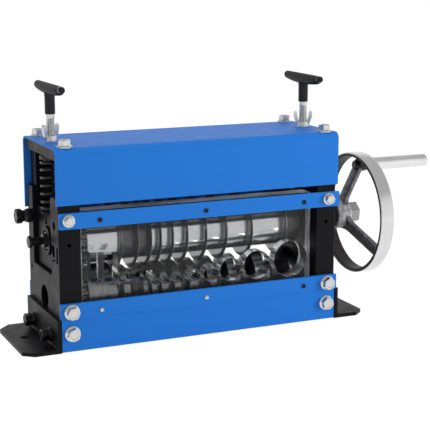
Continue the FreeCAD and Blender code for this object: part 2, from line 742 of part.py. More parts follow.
def wheel_fittings():
    """Sleeve, washer and nut that hold the wheel, and the screw in the shaft's far end."""
    bore = S.hub_bore + S.press_gap
    sleeve = new_body("wheel_sleeve")
    left, right = S.sleeve_left, S.hub_left
    turn(sleeve, outline((left, bore), (left, 13.0), (left + 1, 14.0), (right - 1, 14.0), (right, 13.0),
                         (right, bore)))
    lift(sleeve, S.blade_axis)
    washer = new_body("wheel_washer")
    turn(washer, rectangle(S.hub_right, bore, S.hub_right + S.washer_thick, 16.0))
    lift(washer, S.blade_axis)
    nut = new_body("wheel_nut")
    corner = plain(S.nut_across_flats) / math.sqrt(3)
    hexagon = [(corner * math.sin(math.radians(60 * index)), corner * math.cos(math.radians(60 * index)))
               for index in range(6)]
    seat = S.hub_right + S.washer_thick
    extrude(nut, "X", seat, seat + S.nut_thick, outline(*hexagon), circle(0, 0, bore))
    lift(nut, S.blade_axis, 8.0)
    screw = new_body("shaft_end_screw")
    turn(screw, outline((-191.0, 0), (-191.0, 6.2), (-190.2, 7.0), (-187.8, 7.0), (-187.0, 6.2),
                        (-187.0, 4.6), (-174.0, 4.6), (-174.0, 3.0), (-157.0, 3.0), (-157.0, 0)))
    lift(screw, S.blade_axis)


def crank_grip():
    """Steel grip that turns on a bolt through the wheel's lug."""
    grip = new_body("crank_grip")
    near, far = S.grip_left, S.grip_right
    full = S.grip_radius
    bore = 4.08
    turn(grip, outline((near, bore), (near, full - 1.5), (near + 1.5, full), (far - 3, full), (far, full - 2),
                       (far, 5.6), (far - 7, 5.6), (far - 7, bore)))
    place_on_crank(grip)
    bolt = new_body("crank_bolt")
    head = S.lug_left
    turn(bolt, outline((head - 4.4, 0), (head - 4.4, 4.8), (head - 3.6, 5.6), (head, 5.6), (head, 4.0),
                       (far - 6.9, 4.0), (far - 6.9, 5.0), (far - 2.5, 5.0), (far - 2.5, 0)))
    place_on_crank(bolt)


def place_on_crank(body):
    """Moves a piece from the X axis to the crank radius of the turned wheel."""
    turned = Rotation(ALONG_X, plain(S.wheel_turn))
    height = Vector(0, 0, plain(S.blade_axis))
    body.Placement = Placement(height + turned.multVec(Vector(0, 0, plain(S.crank_radius))), turned)


# ---------------------------------------------------------------- pressure screws

def spring(label, side):
    """Compression spring between the bearing block and the spring seat."""
    bottom = S.block_top + S.spring_wire
    height = S.seat_bottom - S.block_top - 2 * S.spring_wire
    helix = DOC.addObject("Part::Helix", label + "_path")
    helix.setExpression("Pitch", S.spring_pitch.text)
    helix.setExpression("Height", height.text)
    helix.setExpression("Radius", S.spring_radius.text)
    wire = DOC.addObject("Part::RegularPolygon", label + "_wire")
    wire.Polygon = 8
    bind(wire, "Circumradius", S.spring_wire)
    wire.Placement = Placement(Vector(plain(S.spring_radius), 0, 0), Rotation(ALONG_X, 90))
    sweep = DOC.addObject("Part::Sweep", label)
    sweep.Label = label
    sweep.Sections = [wire]
    sweep.Spine = (helix, ["Edge1"])
    sweep.Solid = True
    sweep.Frenet = True
    sweep.Placement = Placement(Vector(side * plain(S.screw_x), plain(S.screw_y), plain(bottom)), Rotation())
    NODES.append(sweep)
    DOC.recompute()
    return sweep


def move_to_screw(body, side):
    """Puts a body that is modelled about the Z axis on a pressure screw's axis."""
    body.Placement = Placement(Vector(side * plain(S.screw_x), plain(S.screw_y), 0), Rotation())


def spring_seat(label, side):
    """Disc with a spigot inside the spring and a blind hole for the screw's end."""
    body = new_body(label)
    bottom = S.seat_bottom
    bore = S.screw_radius + S.running_gap
    turn(body, outline((0, bottom - 5), (8.0, bottom - 5), (9.2, bottom - 3.5), (9.2, bottom), (13.2, bottom),
                       (13.2, bottom + 4), (bore, bottom + 4), (bore, bottom + 1.5), (0, bottom + 1.5)),
         about="V_Axis")
    move_to_screw(body, side)
    return body


def pressure_screw(label, side):
    """Threaded rod from the spring seat up into the tee handle."""
    body = new_body(label)
    bottom, top = S.seat_bottom + 1.55, S.tee_height - 8
    turn(body, outline((0, bottom), (S.screw_radius - 1, bottom), (S.screw_radius, bottom + 1),
                       (S.screw_radius, top), (0, top)), about="V_Axis")
    move_to_screw(body, side)
    return body


def tee_handle(label, side):
    """Moulded tee: a barrel-shaped bar across a round stem."""
    body = new_body(label)
    half, full = S.tee_length / 2, S.tee_radius
    turn(body, outline((-half, 0), (-half, full - 4.0), (1 - half, full - 2.8), (3 - half, full - 2.0),
                       (8 - half, full - 1.3), (20 - half, full - 0.5), (0, full), (half - 20, full - 0.5),
                       (half - 8, full - 1.3), (half - 3, full - 2.0), (half - 1, full - 2.8),
                       (half, full - 4.0), (half, 0)))
    drop = S.stem_bottom - S.tee_height
    extrude(body, "Z", drop, 0.0, circle(0, 0, 5.9))
    carve(body, "Z", drop - 1, -8.0, circle(0, 0, S.screw_radius + S.press_gap))
    bar_angle = 90.0 - (plain(S.right_tee_turn) if side == RIGHT else 0.0)
    body.Placement = Placement(Vector(side * plain(S.screw_x), plain(S.screw_y), plain(S.tee_height)),
                               Rotation(ALONG_Z, bar_angle))
    return body


def wing_nut(label, side):
    """Wing nut that locks the pressure screw on top of the cover."""
    body = new_body(label)
    seat = S.cover_top
    turn(body, outline((0, seat), (7.2, seat), (7.2, seat + 1.5), (6.4, seat + 6.5), (0, seat + 6.5)),
         about="V_Axis")
    for direction in (LEFT, RIGHT):
        extrude(body, "Y", -1.7, 1.7, outline(
            (direction * 4.5, seat + 1), (direction * 7.0, seat + 1.5), (direction * 10.5, seat + 10),
            (direction * 11.6, seat + 16.5), (direction * 10.0, seat + 19.5), (direction * 7.4, seat + 18.5),
            (direction * 6.6, seat + 13.0), (direction * 4.5, seat + 6.0)))
    carve(body, "Z", seat - 1, seat + 21, circle(0, 0, S.screw_radius + S.running_gap))
    move_to_screw(body, side)
    body.Placement = body.Placement.multiply(Placement(Vector(), Rotation(ALONG_Z, -22.0 * side)))
    return body


def star_knob():
    """Lobed knob on a stud that screws into the left plate."""
    body = new_body("star_knob")
    turn(body, outline((-192.2, 0), (-192.2, 7.4), (-191.2, 8.8), (-185.8, 8.8), (-184.8, 7.6), (-182.8, 6.4),
                       (-180.6, 7.2), (-179.2, 8.2), (-174.2, 8.2), (-173.2, 7.4), (-173.2, 3.0),
                       (-166.2, 3.0), (-166.2, 0)))
    lobe = carve(body, "X", -194.0, -184.4, circle(0, 10.4, 3.6))
    repeat_round(body, lobe, "X_Axis", 6)
    body.Placement = Placement(Vector(0, plain(S.knob_y), plain(S.knob_height)), Rotation())
    return body


# ---------------------------------------------------------------- assembly

def build():
    """Makes every piece of the machine."""
    for side, name in ((LEFT, "left"), (RIGHT, "right")):
        side_plate(name + "_side_plate", side)
        top_block(name + "_top_block", side)
        foot(name + "_foot", side)
        bearing_block(name + "_bearing_block", side)
        ball_bearing(name + "_blade_bearing", side, S.blade_axis)
        ball_bearing(name + "_feed_bearing", side, S.feed_axis)
        spring(name + "_spring", side)
        spring_seat(name + "_spring_seat", side)
        pressure_screw(name + "_pressure_screw", side)
        tee_handle(name + "_tee_handle", side)
        wing_nut(name + "_wing_nut", side)
    top_cover()
    bars_and_panels()
    inlet_plate()
    fasteners()
    blade_shaft()
    drum()
    feed_shaft_and_roller()
    gears()
    handwheel()
    wheel_fittings()
    crank_grip()
    star_knob()


def check_document():
    """Stops before writing if any object failed or any node has a bad shape."""
    for item in DOC.Objects:
        if "Invalid" in item.State or "Error" in item.State:
            raise RuntimeError(f"{item.Label} has the state {item.State}")
    for node in NODES:
        if node.Shape.isNull() or not node.Shape.isValid():
            raise RuntimeError(f"{node.Label} has no valid shape")


def write_parts():
    """Writes one STEP file for each node."""
    os.makedirs("parts", exist_ok=True)
    for node in NODES:
        node.Shape.exportStep(f"parts/{node.Label}.step")
    print(f"{len(NODES)} nodes written")


build()
DOC.recompute()
check_document()
write_parts()
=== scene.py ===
"""Looks of a hand crank wire stripper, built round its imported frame.

Sizes are in metres.  +X points at the handwheel, -Y at the side where the
wire goes in, and +Z up.  Each sub-assembly is a class whose fields are its
sizes and whose methods build its meshes and dress them.
"""
from __future__ import annotations

import json
import logging
import math
from dataclasses import asdict, dataclass, fields, replace
from enum import Enum
from functools import cache
from typing import Any, Iterable, Sequence

import bmesh
import bpy
from mathutils import Matrix, Vector

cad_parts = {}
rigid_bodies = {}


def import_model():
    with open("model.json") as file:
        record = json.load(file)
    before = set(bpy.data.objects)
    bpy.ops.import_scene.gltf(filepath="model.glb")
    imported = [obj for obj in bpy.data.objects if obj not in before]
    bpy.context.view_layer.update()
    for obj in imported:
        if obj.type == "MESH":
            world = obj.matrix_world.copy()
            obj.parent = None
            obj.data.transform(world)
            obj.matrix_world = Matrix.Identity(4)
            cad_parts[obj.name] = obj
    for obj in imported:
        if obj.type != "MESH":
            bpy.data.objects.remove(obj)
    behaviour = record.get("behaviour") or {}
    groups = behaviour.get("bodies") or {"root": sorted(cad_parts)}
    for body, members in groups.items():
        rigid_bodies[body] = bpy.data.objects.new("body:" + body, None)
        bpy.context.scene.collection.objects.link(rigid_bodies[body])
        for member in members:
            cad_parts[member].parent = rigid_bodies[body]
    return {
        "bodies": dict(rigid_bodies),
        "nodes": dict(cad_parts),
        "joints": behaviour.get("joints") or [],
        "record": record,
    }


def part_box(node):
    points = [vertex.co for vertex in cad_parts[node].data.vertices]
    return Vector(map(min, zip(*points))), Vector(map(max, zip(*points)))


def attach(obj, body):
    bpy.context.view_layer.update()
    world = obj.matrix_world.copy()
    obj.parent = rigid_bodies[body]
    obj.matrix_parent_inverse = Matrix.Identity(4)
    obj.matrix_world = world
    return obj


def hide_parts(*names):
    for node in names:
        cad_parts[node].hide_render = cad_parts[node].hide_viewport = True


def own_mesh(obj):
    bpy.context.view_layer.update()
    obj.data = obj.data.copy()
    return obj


LOG = logging.getLogger("wire_stripper")

Colour = tuple[float, float, float, float]
Pair = tuple[float, float]
Triple = tuple[float, float, float]

BLADE_AXIS_HEIGHT = 0.116
FEED_AXIS_HEIGHT = 0.050
SCREW_X = 0.1605
SCREW_Y = 0.002
POLE_RADIUS = 1e-7
WHITE = (1.0, 1.0, 1.0, 1.0)


class Side(Enum):
    """The two ends of the machine, as the sign of X."""

    LEFT = -1
    RIGHT = 1

    @property
    def word(self) -> str:
        """The word that begins this end's node names."""
        return self.name.lower()


class Axis(Enum):
    """The axis that a lathe turns about."""

    X = "x"
    Z = "z"


def linear(red: int, green: int, blue: int) -> Colour:
    """Turns a colour as a screen shows it into the renderer's linear values.

    Args:
        red: Red from 0 to 255.
        green: Green from 0 to 255.
        blue: Blue from 0 to 255.

    Returns:
        The linear colour with full alpha.
    """
    def open_up(level: int) -> float:
        """One channel from 0 to 1."""
        share = level / 255
        return share / 12.92 if share <= 0.04045 else ((share + 0.055) / 1.055) ** 2.4
    return (open_up(red), open_up(green), open_up(blue), 1.0)


def scaled(colour: Colour, factor: float) -> Colour:
    """A colour made lighter or darker by a factor."""
    return (colour[0] * factor, colour[1] * factor, colour[2] * factor, 1.0)


# ---------------------------------------------------------------- node trees

class Value:
    """A number in a node tree; arithmetic with it adds Math nodes."""

    def __init__(self, sheet: NodeSheet, socket: bpy.types.NodeSocket) -> None:
        """Takes the sheet that the arithmetic adds to, and the number's socket."""
        self.sheet, self.socket = sheet, socket

    def __add__(self, other: Any) -> Value:
        """The sum with a number or a socket."""
        return self.sheet.math("ADD", self, other)

    def __sub__(self, other: Any) -> Value:
        """What is left after a number or a socket is taken away."""
        return self.sheet.math("SUBTRACT", self, other)

    def __rsub__(self, other: Any) -> Value:
        """What a number or a socket leaves after this is taken away."""
        return self.sheet.math("SUBTRACT", other, self)

    def __mul__(self, other: Any) -> Value:
        """The product with a number or a socket."""
        return self.sheet.math("MULTIPLY", self, other)

    def __truediv__(self, other: Any) -> Value:
        """The quotient by a number or a socket."""
        return self.sheet.math("DIVIDE", self, other)


class NodeSheet:
    """A node tree with short calls for adding and joining nodes."""

    def __init__(self, tree: bpy.types.NodeTree) -> None:
        """Takes the tree that the calls add to."""
        self.tree = tree

    def node(self, kind: str, inputs: dict[Any, Any] | None = None, **settings: Any) -> bpy.types.Node:
        """Adds a node.

        Args:
            kind: The node's type name.
            inputs: Values or sockets by input name or number.
            **settings: Properties of the node itself.

        Returns:
            The new node.
        """
        added = self.tree.nodes.new(kind)
        for name, value in settings.items():
            setattr(added, name, value)
        for key, value in (inputs or {}).items():
            self.feed(added.inputs[key], value)
        return added

    def feed(self, socket: bpy.types.NodeSocket, value: Any) -> None:
        """Links an input to a result, or sets it.

        Args:
            socket: The input.
            value: A socket, a Value or a plain setting.
        """
        source = value.socket if isinstance(value, Value) else value
        if isinstance(source, bpy.types.NodeSocket):
            self.tree.links.new(source, socket)
        else:
            socket.default_value = source

    def math(self, operation: str, first: Any, second: Any = 0.0) -> Value:
        """A Math node's result."""
        added = self.node("ShaderNodeMath", {0: first, 1: second}, operation=operation)
        return Value(self, added.outputs[0])

    def vector(self, across: Any = 0.0, along: Any = 0.0, up: Any = 0.0) -> bpy.types.NodeSocket:
        """A vector made of three numbers or sockets."""
        return self.node("ShaderNodeCombineXYZ", {0: across, 1: along, 2: up}).outputs[0]

    def split(self, vector: bpy.types.NodeSocket) -> list[Value]:
        """The three numbers of a vector."""
        return [Value(self, part) for part in self.node("ShaderNodeSeparateXYZ", {0: vector}).outputs]

    def ranged(self, value: Any, low: Any, high: Any, new_low: Any = 0.0, new_high: Any = 1.0,
               smooth: bool = False) -> Value:
        """A value carried from one range to another, and kept inside it.

        Args:
            value: The value, as a socket.
            low: Start of its range.
            high: End of its range.
            new_low: Start of the new range.
            new_high: End of the new range.
            smooth: Whether the ends run out softly.

        Returns:
            The value in the new range.
        """
        added = self.node("ShaderNodeMapRange", {
            "Value": value, "From Min": low, "From Max": high, "To Min": new_low, "To Max": new_high},
            interpolation_type="SMOOTHSTEP" if smooth else "LINEAR")
        return Value(self, added.outputs[0])


class Shader(NodeSheet):
    """A material under construction; patterns are placed by Object coordinates."""

    def __init__(self, name: str) -> None:
        """Makes an empty material.

        Args:
            name: The material's name.
        """
        self.material = bpy.data.materials.new(name)
        self.material.use_nodes = True
        super().__init__(self.material.node_tree)
        self.tree.nodes.clear()
        self.output = self.node("ShaderNodeOutputMaterial")
        self.place = self.node("ShaderNodeTexCoord").outputs["Object"]

    def stretched(self, scale: Triple) -> bpy.types.NodeSocket:
        """Object coordinates scaled apart along the axes."""
        return self.node("ShaderNodeMapping", {"Vector": self.place, "Scale": scale}).outputs[0]

    def noise(self, scale: float, detail: float = 3.0, roughness: float = 0.55,
              place: bpy.types.NodeSocket | None = None) -> bpy.types.NodeSocket:
        """A noise pattern.

        Args:
            scale: Repeats in each metre, or in each unit of the place.
            detail: Octaves of the noise.
            roughness: Share that each octave keeps.
            place: Coordinates to read, or None for Object coordinates.

        Returns:
            The pattern from 0 to 1.
        """
        added = self.node("ShaderNodeTexNoise", {
            "Vector": place or self.place, "Scale": scale, "Detail": detail, "Roughness": roughness})
        return added.outputs["Fac"]

    def blend(self, share: Any, first: Any, second: Any) -> bpy.types.NodeSocket:
        """A colour between two colours.

        Args:
            share: Share of the second colour.
            first: The first colour.
            second: The second colour.

        Returns:
            The mixed colour.
        """
        added = self.node("ShaderNodeMix", data_type="RGBA")
        self.feed(added.inputs[0], share)
        self.feed(added.inputs[6], first)
        self.feed(added.inputs[7], second)
        return added.outputs[2]

    def bump(self, height: Any, strength: float, depth: float,
             under: bpy.types.NodeSocket | None = None) -> bpy.types.NodeSocket:
        """A normal that follows a height pattern.

        Args:
            height: The pattern from 0 to 1.
            strength: How much of it shows.
            depth: Its full height.
            under: A coarser normal that it lies on.

        Returns:
            The normal.
        """
        added = self.node("ShaderNodeBump", {"Height": height, "Strength": strength, "Distance": depth})
        if under is not None:
            self.feed(added.inputs["Normal"], under)
        return added.outputs[0]

    def surface(self, **inputs: Any) -> bpy.types.Node:
        """A Principled shader; underscores stand for spaces in its input names."""
        named = {name.replace("_", " "): value for name, value in inputs.items()}
        return self.node("ShaderNodeBsdfPrincipled", named)

    def close(self, shader: bpy.types.Node) -> bpy.types.Material:
        """Joins the shader to the output and returns the material."""
        self.feed(self.output.inputs["Surface"], shader.outputs[0])
        return self.material


class GrownTree(NodeSheet):
    """A Geometry Nodes tree whose inputs are the sizes of a dataclass."""

    def __init__(self, name: str, sizes: type) -> None:
        """Makes the tree's inputs and its output.

        Args:
            name: The tree's name.
            sizes: The dataclass whose fields it takes.
        """
        super().__init__(bpy.data.node_groups.new(name, "GeometryNodeTree"))
        face = self.tree.interface
        face.new_socket("seats", in_out="INPUT", socket_type="NodeSocketGeometry")
        for field in fields(sizes):
            face.new_socket(field.name, in_out="INPUT", socket_type="NodeSocketFloat")
        face.new_socket("finish", in_out="INPUT", socket_type="NodeSocketMaterial")
        face.new_socket("piece", in_out="OUTPUT", socket_type="NodeSocketGeometry")
        self.source = self.node("NodeGroupInput")
        self.result = self.node("NodeGroupOutput")

    def size(self, label: str) -> Value:
        """A named input."""
        return Value(self, self.source.outputs[label])

    def solid(self, kind: str, inputs: dict[str, Any], up: Any = 0.0) -> bpy.types.NodeSocket:
        """A mesh primitive, moved up.

        Args:
            kind: The primitive's node type, without what all of them begin with.
            inputs: Its sizes by input name.
            up: How far it is moved along Z.

        Returns:
            The mesh.
        """
        made = self.node("GeometryNodeMesh" + kind, inputs)
        moved = self.node("GeometryNodeTransform", {
            "Geometry": made.outputs["Mesh"], "Translation": self.vector(up=up)})
        return moved.outputs[0]

    def combined(self, operation: str, first: bpy.types.NodeSocket,
                 second: bpy.types.NodeSocket) -> bpy.types.NodeSocket:
        """Two solids made into one.

        Args:
            operation: INTERSECT for the space they share, DIFFERENCE to cut.
            first: The solid that is kept.
            second: The solid that trims or cuts it.

        Returns:
            The new solid.
        """
        made = self.node("GeometryNodeMeshBoolean", operation=operation, solver="EXACT")
        first_input = "Mesh 1" if operation == "DIFFERENCE" else "Mesh 2"
        self.tree.links.new(first, made.inputs[first_input])
        self.tree.links.new(second, made.inputs["Mesh 2"])
        return made.outputs[0]

    def joined(self, *meshes: bpy.types.NodeSocket) -> bpy.types.NodeSocket:
        """All meshes in one geometry.

        Args:
            *meshes: The meshes.

        Returns:
            The geometry that holds them.
        """
        made = self.node("GeometryNodeJoinGeometry")
        for mesh in meshes:
            self.tree.links.new(mesh, made.inputs[0])
        return made.outputs[0]

    def smoothed(self, mesh: bpy.types.NodeSocket, sharp_from: float = 0.5) -> bpy.types.NodeSocket:
        """Smooth shading that leaves hard edges.

        Args:
            mesh: The mesh.
            sharp_from: The bend, in radians, from which an edge stays hard.

        Returns:
            The shaded mesh.
        """
        soft = self.node("GeometryNodeSetShadeSmooth", {"Geometry": mesh}, domain="FACE")
        angle = self.node("GeometryNodeInputMeshEdgeAngle").outputs["Unsigned Angle"]
        sharp = self.node("FunctionNodeCompare", {0: angle, 1: sharp_from}, operation="GREATER_THAN")
        edges = self.node("GeometryNodeSetShadeSmooth", {
            "Geometry": soft.outputs[0], "Selection": sharp.outputs[0], "Shade Smooth": False},
            domain="EDGE")
        return edges.outputs[0]

    def seated(self, mesh: bpy.types.NodeSocket) -> bpy.types.NodeSocket:
        """Copies of a mesh, one on each seat.

        Args:
            mesh: The mesh, standing on the origin along Z.

        Returns:
            The copies, along each seat's facing and turned by its spin.
        """
        facing = self.node("GeometryNodeInputNamedAttribute", {"Name": "facing"}, data_type="FLOAT_VECTOR")
        spin = self.node("GeometryNodeInputNamedAttribute", {"Name": "spin"}, data_type="FLOAT")
        align = self.node("FunctionNodeAlignRotationToVector", {"Vector": facing.outputs[0]}, axis="Z")
        about = self.node("FunctionNodeAxisAngleToRotation", {
            "Axis": (0.0, 0.0, 1.0), "Angle": spin.outputs[0]})
        turned = self.node("FunctionNodeRotateRotation", {
            "Rotation": align.outputs[0], "Rotate By": about.outputs[0]}, rotation_space="LOCAL")
        placed = self.node("GeometryNodeInstanceOnPoints", {
            "Points": self.size("seats"), "Instance": mesh, "Rotation": turned.outputs[0]})
        return placed.outputs[0]

    def end(self, geometry: bpy.types.NodeSocket) -> GrownTree:
        """Makes the result real, and gives it its finish.

        Args:
            geometry: The finished geometry.

        Returns:
            The tree itself, ready to grow pieces.
        """
        real = self.node("GeometryNodeRealizeInstances", {"Geometry": geometry})
        dressed = self.node("GeometryNodeSetMaterial", {
            "Geometry": real.outputs[0], "Material": self.size("finish")})
        self.feed(self.result.inputs[0], dressed.outputs[0])
        return self

    def grow(self, name: str, finish: Finish, sizes: Any, seats: Iterable[Seat] = ()) -> bpy.types.Object:
        """Runs the tree and keeps its result as a plain mesh.

        Args:
            name: The new piece's name.
            finish: Its finish.
            sizes: The dataclass that holds its sizes.
            seats: Where copies stand, for a tree that uses them.

        Returns:
            The new object, at the origin, with no modifier.
        """
        piece = add_object(name, seat_mesh(name + "_seats", seats))
        modifier = piece.modifiers.new("grow", "NODES")
        modifier.node_group = self.tree
        values = dict(asdict(sizes), finish=finish.made())
        for item in self.tree.interface.items_tree:
            if item.in_out == "INPUT" and item.name in values:
                modifier[item.identifier] = values[item.name]
        bake(piece)
        return piece


# ---------------------------------------------------------------- mesh tools

@dataclass(frozen=True)
class Seat:
    """A place where a repeated shape stands."""

    point: Triple
    facing: Triple
    spin: float = 0.0


def add_object(name: str, mesh: bpy.types.Mesh) -> bpy.types.Object:
    """Puts a mesh into the scene as an object at the origin.

    Args:
        name: The object's name.
        mesh: Its mesh.

    Returns:
        The object.
    """
    piece = bpy.data.objects.new(name, mesh)
    bpy.context.scene.collection.objects.link(piece)
    return piece


def seat_mesh(name: str, seats: Iterable[Seat]) -> bpy.types.Mesh:
    """Loose points with the attributes that a tree turns its copies by.

    Args:
        name: The mesh's name.
        seats: The seats; with none, one point stands at the origin.

    Returns:
        The mesh of points.
    """
    places = list(seats) or [Seat((0.0, 0.0, 0.0), (0.0, 0.0, 1.0))]
    mesh = bpy.data.meshes.new(name)
    mesh.from_pydata([seat.point for seat in places], [], [])
    facing = mesh.attributes.new("facing", "FLOAT_VECTOR", "POINT")
    facing.data.foreach_set("vector", [part for seat in places for part in seat.facing])
    spin = mesh.attributes.new("spin", "FLOAT", "POINT")
    spin.data.foreach_set("value", [seat.spin for seat in places])
    return mesh


def bake(piece: bpy.types.Object) -> None:
    """Replaces an object's mesh by its evaluated one and removes the modifiers.

    Args:
        piece: The object.
    """
    bpy.context.view_layer.update()
    graph = bpy.context.evaluated_depsgraph_get()
    mesh = bpy.data.meshes.new_from_object(piece.evaluated_get(graph), depsgraph=graph)
    piece.modifiers.clear()
    piece.data = mesh
    mesh.name = piece.name


def from_bmesh(name: str, shape: bmesh.types.BMesh, sharp_degrees: float = 32.0) -> bpy.types.Object:
    """Makes an object of a bmesh, with its normals outward.

    Args:
        name: The object's name.
        shape: The bmesh, which is freed.
        sharp_degrees: The bend from which an edge stays hard.

    Returns:
        The object.
    """
    bmesh.ops.recalc_face_normals(shape, faces=shape.faces)
    mesh = bpy.data.meshes.new(name)
    shape.to_mesh(mesh)
    shape.free()
    mesh.shade_smooth()
    mesh.set_sharp_from_angle(angle=math.radians(sharp_degrees))
    return add_object(name, mesh)


def ease(piece: bpy.types.Object, width: float, degrees: float) -> None:
    """Rounds an object's sharp edges.

    Args:
        piece: The object, which keeps the modifier until it is baked.
        width: How far the rounding reaches from each edge.
        degrees: The bend from which an edge is rounded.
    """
    bevel = piece.modifiers.new("ease", "BEVEL")
    bevel.width, bevel.segments = width, 2
    bevel.limit_method, bevel.angle_limit = "ANGLE", math.radians(degrees)
    bevel.use_clamp_overlap = True


def dress(piece: bpy.types.Object, *finishes: Finish) -> None:
    """Gives an object its finishes and keeps each face's slot.

    Args:
        piece: The object.
        *finishes: Its finishes, in slot order.
    """
    faces = piece.data.polygons
    slots = [0] * len(faces)
    if len(finishes) > 1:
        faces.foreach_get("material_index", slots)
    piece.data.materials.clear()
    for finish in finishes:
        piece.data.materials.append(finish.made())
    faces.foreach_set("material_index", slots)


def spun_point(axis: Axis, along: float, radius: float, angle: float) -> Vector:
    """A point at a distance along an axis and round it.

    Args:
        axis: The axis.
        along: Distance along it.
        radius: Distance from it.
        angle: Turn about it, in radians.

    Returns:
        The point.
    """
    first, second = radius * math.cos(angle), radius * math.sin(angle)
    if axis is Axis.X:
        return Vector((along, first, second))
    return Vector((first, second, along))


def add_lathe(shape: bmesh.types.BMesh, profile: Sequence[Pair], axis: Axis, centre: Triple,
              steps: int, slot: int = 0) -> list[bmesh.types.BMFace]:
    """Revolves a closed profile about an axis.

    Args:
        shape: The mesh that it is added to.
        profile: Distances along the axis and radii; a radius of 0 is a pole.
        axis: The axis it turns about.
        centre: A point on that axis.
        steps: Divisions of the turn.
        slot: The material slot of the new faces.

    Returns:
        The new faces.
    """
    middle = Vector(centre)
    rings: list[list[bmesh.types.BMVert]] = []
    for along, radius in profile:
        count = steps if radius > POLE_RADIUS else 1
        rings.append([shape.verts.new(middle + spun_point(axis, along, radius, 2 * math.pi * step / count))
                      for step in range(count)])
    faces = []
    for first, second in zip(rings, rings[1:] + rings[:1]):
        if len(first) == 1 and len(second) == 1:
            continue
        for step in range(steps):
            corners = []
            for ring, order in ((first, (step, step + 1)), (second, (step + 1, step))):
                for index in order:
                    vertex = ring[index % len(ring)]
                    if vertex not in corners:
                        corners.append(vertex)
            face = shape.faces.new(corners)
            face.material_index = slot
            faces.append(face)
    return faces


def rounded(corners: Sequence[tuple[float, float, float]], steps: int = 4) -> list[Pair]:
    """A closed outline whose corners are arcs.

    Args:
        corners: Places with the radius of each corner's arc.
        steps: Divisions of each arc.

    Returns:
        The outline's points in order.
    """
    points: list[Pair] = []
    count = len(corners)
    for index, (across, up, radius) in enumerate(corners):
        here = Vector((across, up))
        if radius <= 0:
            points.append((across, up))
            continue
        before = (Vector(corners[index - 1][:2]) - here).normalized()
        after = (Vector(corners[(index + 1) % count][:2]) - here).normalized()
        half = math.acos(max(-1.0, min(1.0, before.dot(after)))) / 2
        reach = radius / math.tan(half)
        start, finish = here + before * reach, here + after * reach
        middle = here + (before + after).normalized() * (radius / math.sin(half))
        for step in range(steps + 1):
            share = step / steps
            spoke = (start - middle).lerp(finish - middle, share)
            point = middle + spoke.normalized() * radius
            points.append((point.x, point.y))
    return points


def add_loft(shape: bmesh.types.BMesh, rings: Sequence[Sequence[Vector]], slot: int = 0) -> None:
    """Joins rings of equal length by quads, and closes both ends.

    Args:
        shape: The mesh that it is added to.
        rings: The rings in order.
        slot: The material slot of the new faces.
    """
    rows = [[shape.verts.new(point) for point in ring] for ring in rings]
    for first, second in zip(rows, rows[1:]):
        for index in range(len(first)):
            after = (index + 1) % len(first)
            face = shape.faces.new((first[index], first[after], second[after], second[index]))
            face.material_index = slot
    for ring in (rows[0][::-1], rows[-1]):
        shape.faces.new(ring).material_index = slot


def oval(half_width: float, half_height: float, power: float, steps: int) -> list[Pair]:
    """A superellipse.

    Args:
        half_width: Half its width.
        half_height: Half its height.
        power: 2 for an ellipse, and more for a squarer form.
        steps: Number of points.

    Returns:
        The outline's points in order.
    """
    points = []
    for step in range(steps):
        angle = 2 * math.pi * step / steps
        across, up = math.cos(angle), math.sin(angle)
        points.append((half_width * math.copysign(abs(across) ** (2 / power), across),
                       half_height * math.copysign(abs(up) ** (2 / power), up)))
    return points


# ---------------------------------------------------------------- finishes

@dataclass(frozen=True)
class Finish:
    """A recipe for one material."""

    name: str
    colour: Colour
    roughness: float

    def make(self) -> bpy.types.Material:
        """Builds the material; each kind of finish has its own way."""
        raise NotImplementedError

    @cache
    def made(self) -> bpy.types.Material:
        """The material, built when it is first asked for."""
        return self.make()


@dataclass(frozen=True)
class PowderCoat(Finish):
    """Baked powder paint with a fine orange peel."""

    roughness: float = 0.42
    peel: float = 0.10
    fleck: float = 0.08
    gloss: float = 0.25

    def make(self) -> bpy.types.Material:
        """Builds the material.

        Returns:
            Paint with clouds, light specks and two sizes of bump.
        """
        paint = Shader(self.name)
        cloud = paint.noise(9.0, detail=4.0)
        speck = paint.noise(2600.0, detail=2.0)
        tone = paint.blend(cloud, scaled(self.colour, 1 - self.fleck), scaled(self.colour, 1 + self.fleck))
        tone = paint.blend(paint.ranged(speck, 0.62, 0.8, 0.0, 0.35), tone, scaled(self.colour, 1.7))
        peel = paint.bump(paint.noise(620.0, detail=2.0), self.peel, 0.0004)
        grain = paint.bump(speck, self.peel, 0.00015, under=peel)
        rough = paint.ranged(paint.noise(70.0), 0.3, 0.7, self.roughness - 0.05, self.roughness + 0.06)
        return paint.close(paint.surface(
            Base_Color=tone, Roughness=rough, Normal=grain, Specular_IOR_Level=self.gloss))


@dataclass(frozen=True)
class BrightZinc(Finish):
    """Zinc plated steel, bright with a faint clouding."""

    roughness: float = 0.24

    def make(self) -> bpy.types.Material:
        """Builds the material.

        Returns:
            Clouded metal with shallow dents.
        """
        metal = Shader(self.name)
        cloud = metal.noise(420.0, detail=4.0)
        tone = metal.blend(cloud, scaled(self.colour, 0.86), scaled(self.colour, 1.08))
        rough = metal.ranged(metal.noise(900.0), 0.3, 0.7, self.roughness - 0.08, self.roughness + 0.12)
        dents = metal.bump(metal.noise(1500.0, detail=2.0), 0.12, 0.0002)
        return metal.close(metal.surface(Base_Color=tone, Metallic=1.0, Roughness=rough, Normal=dents))


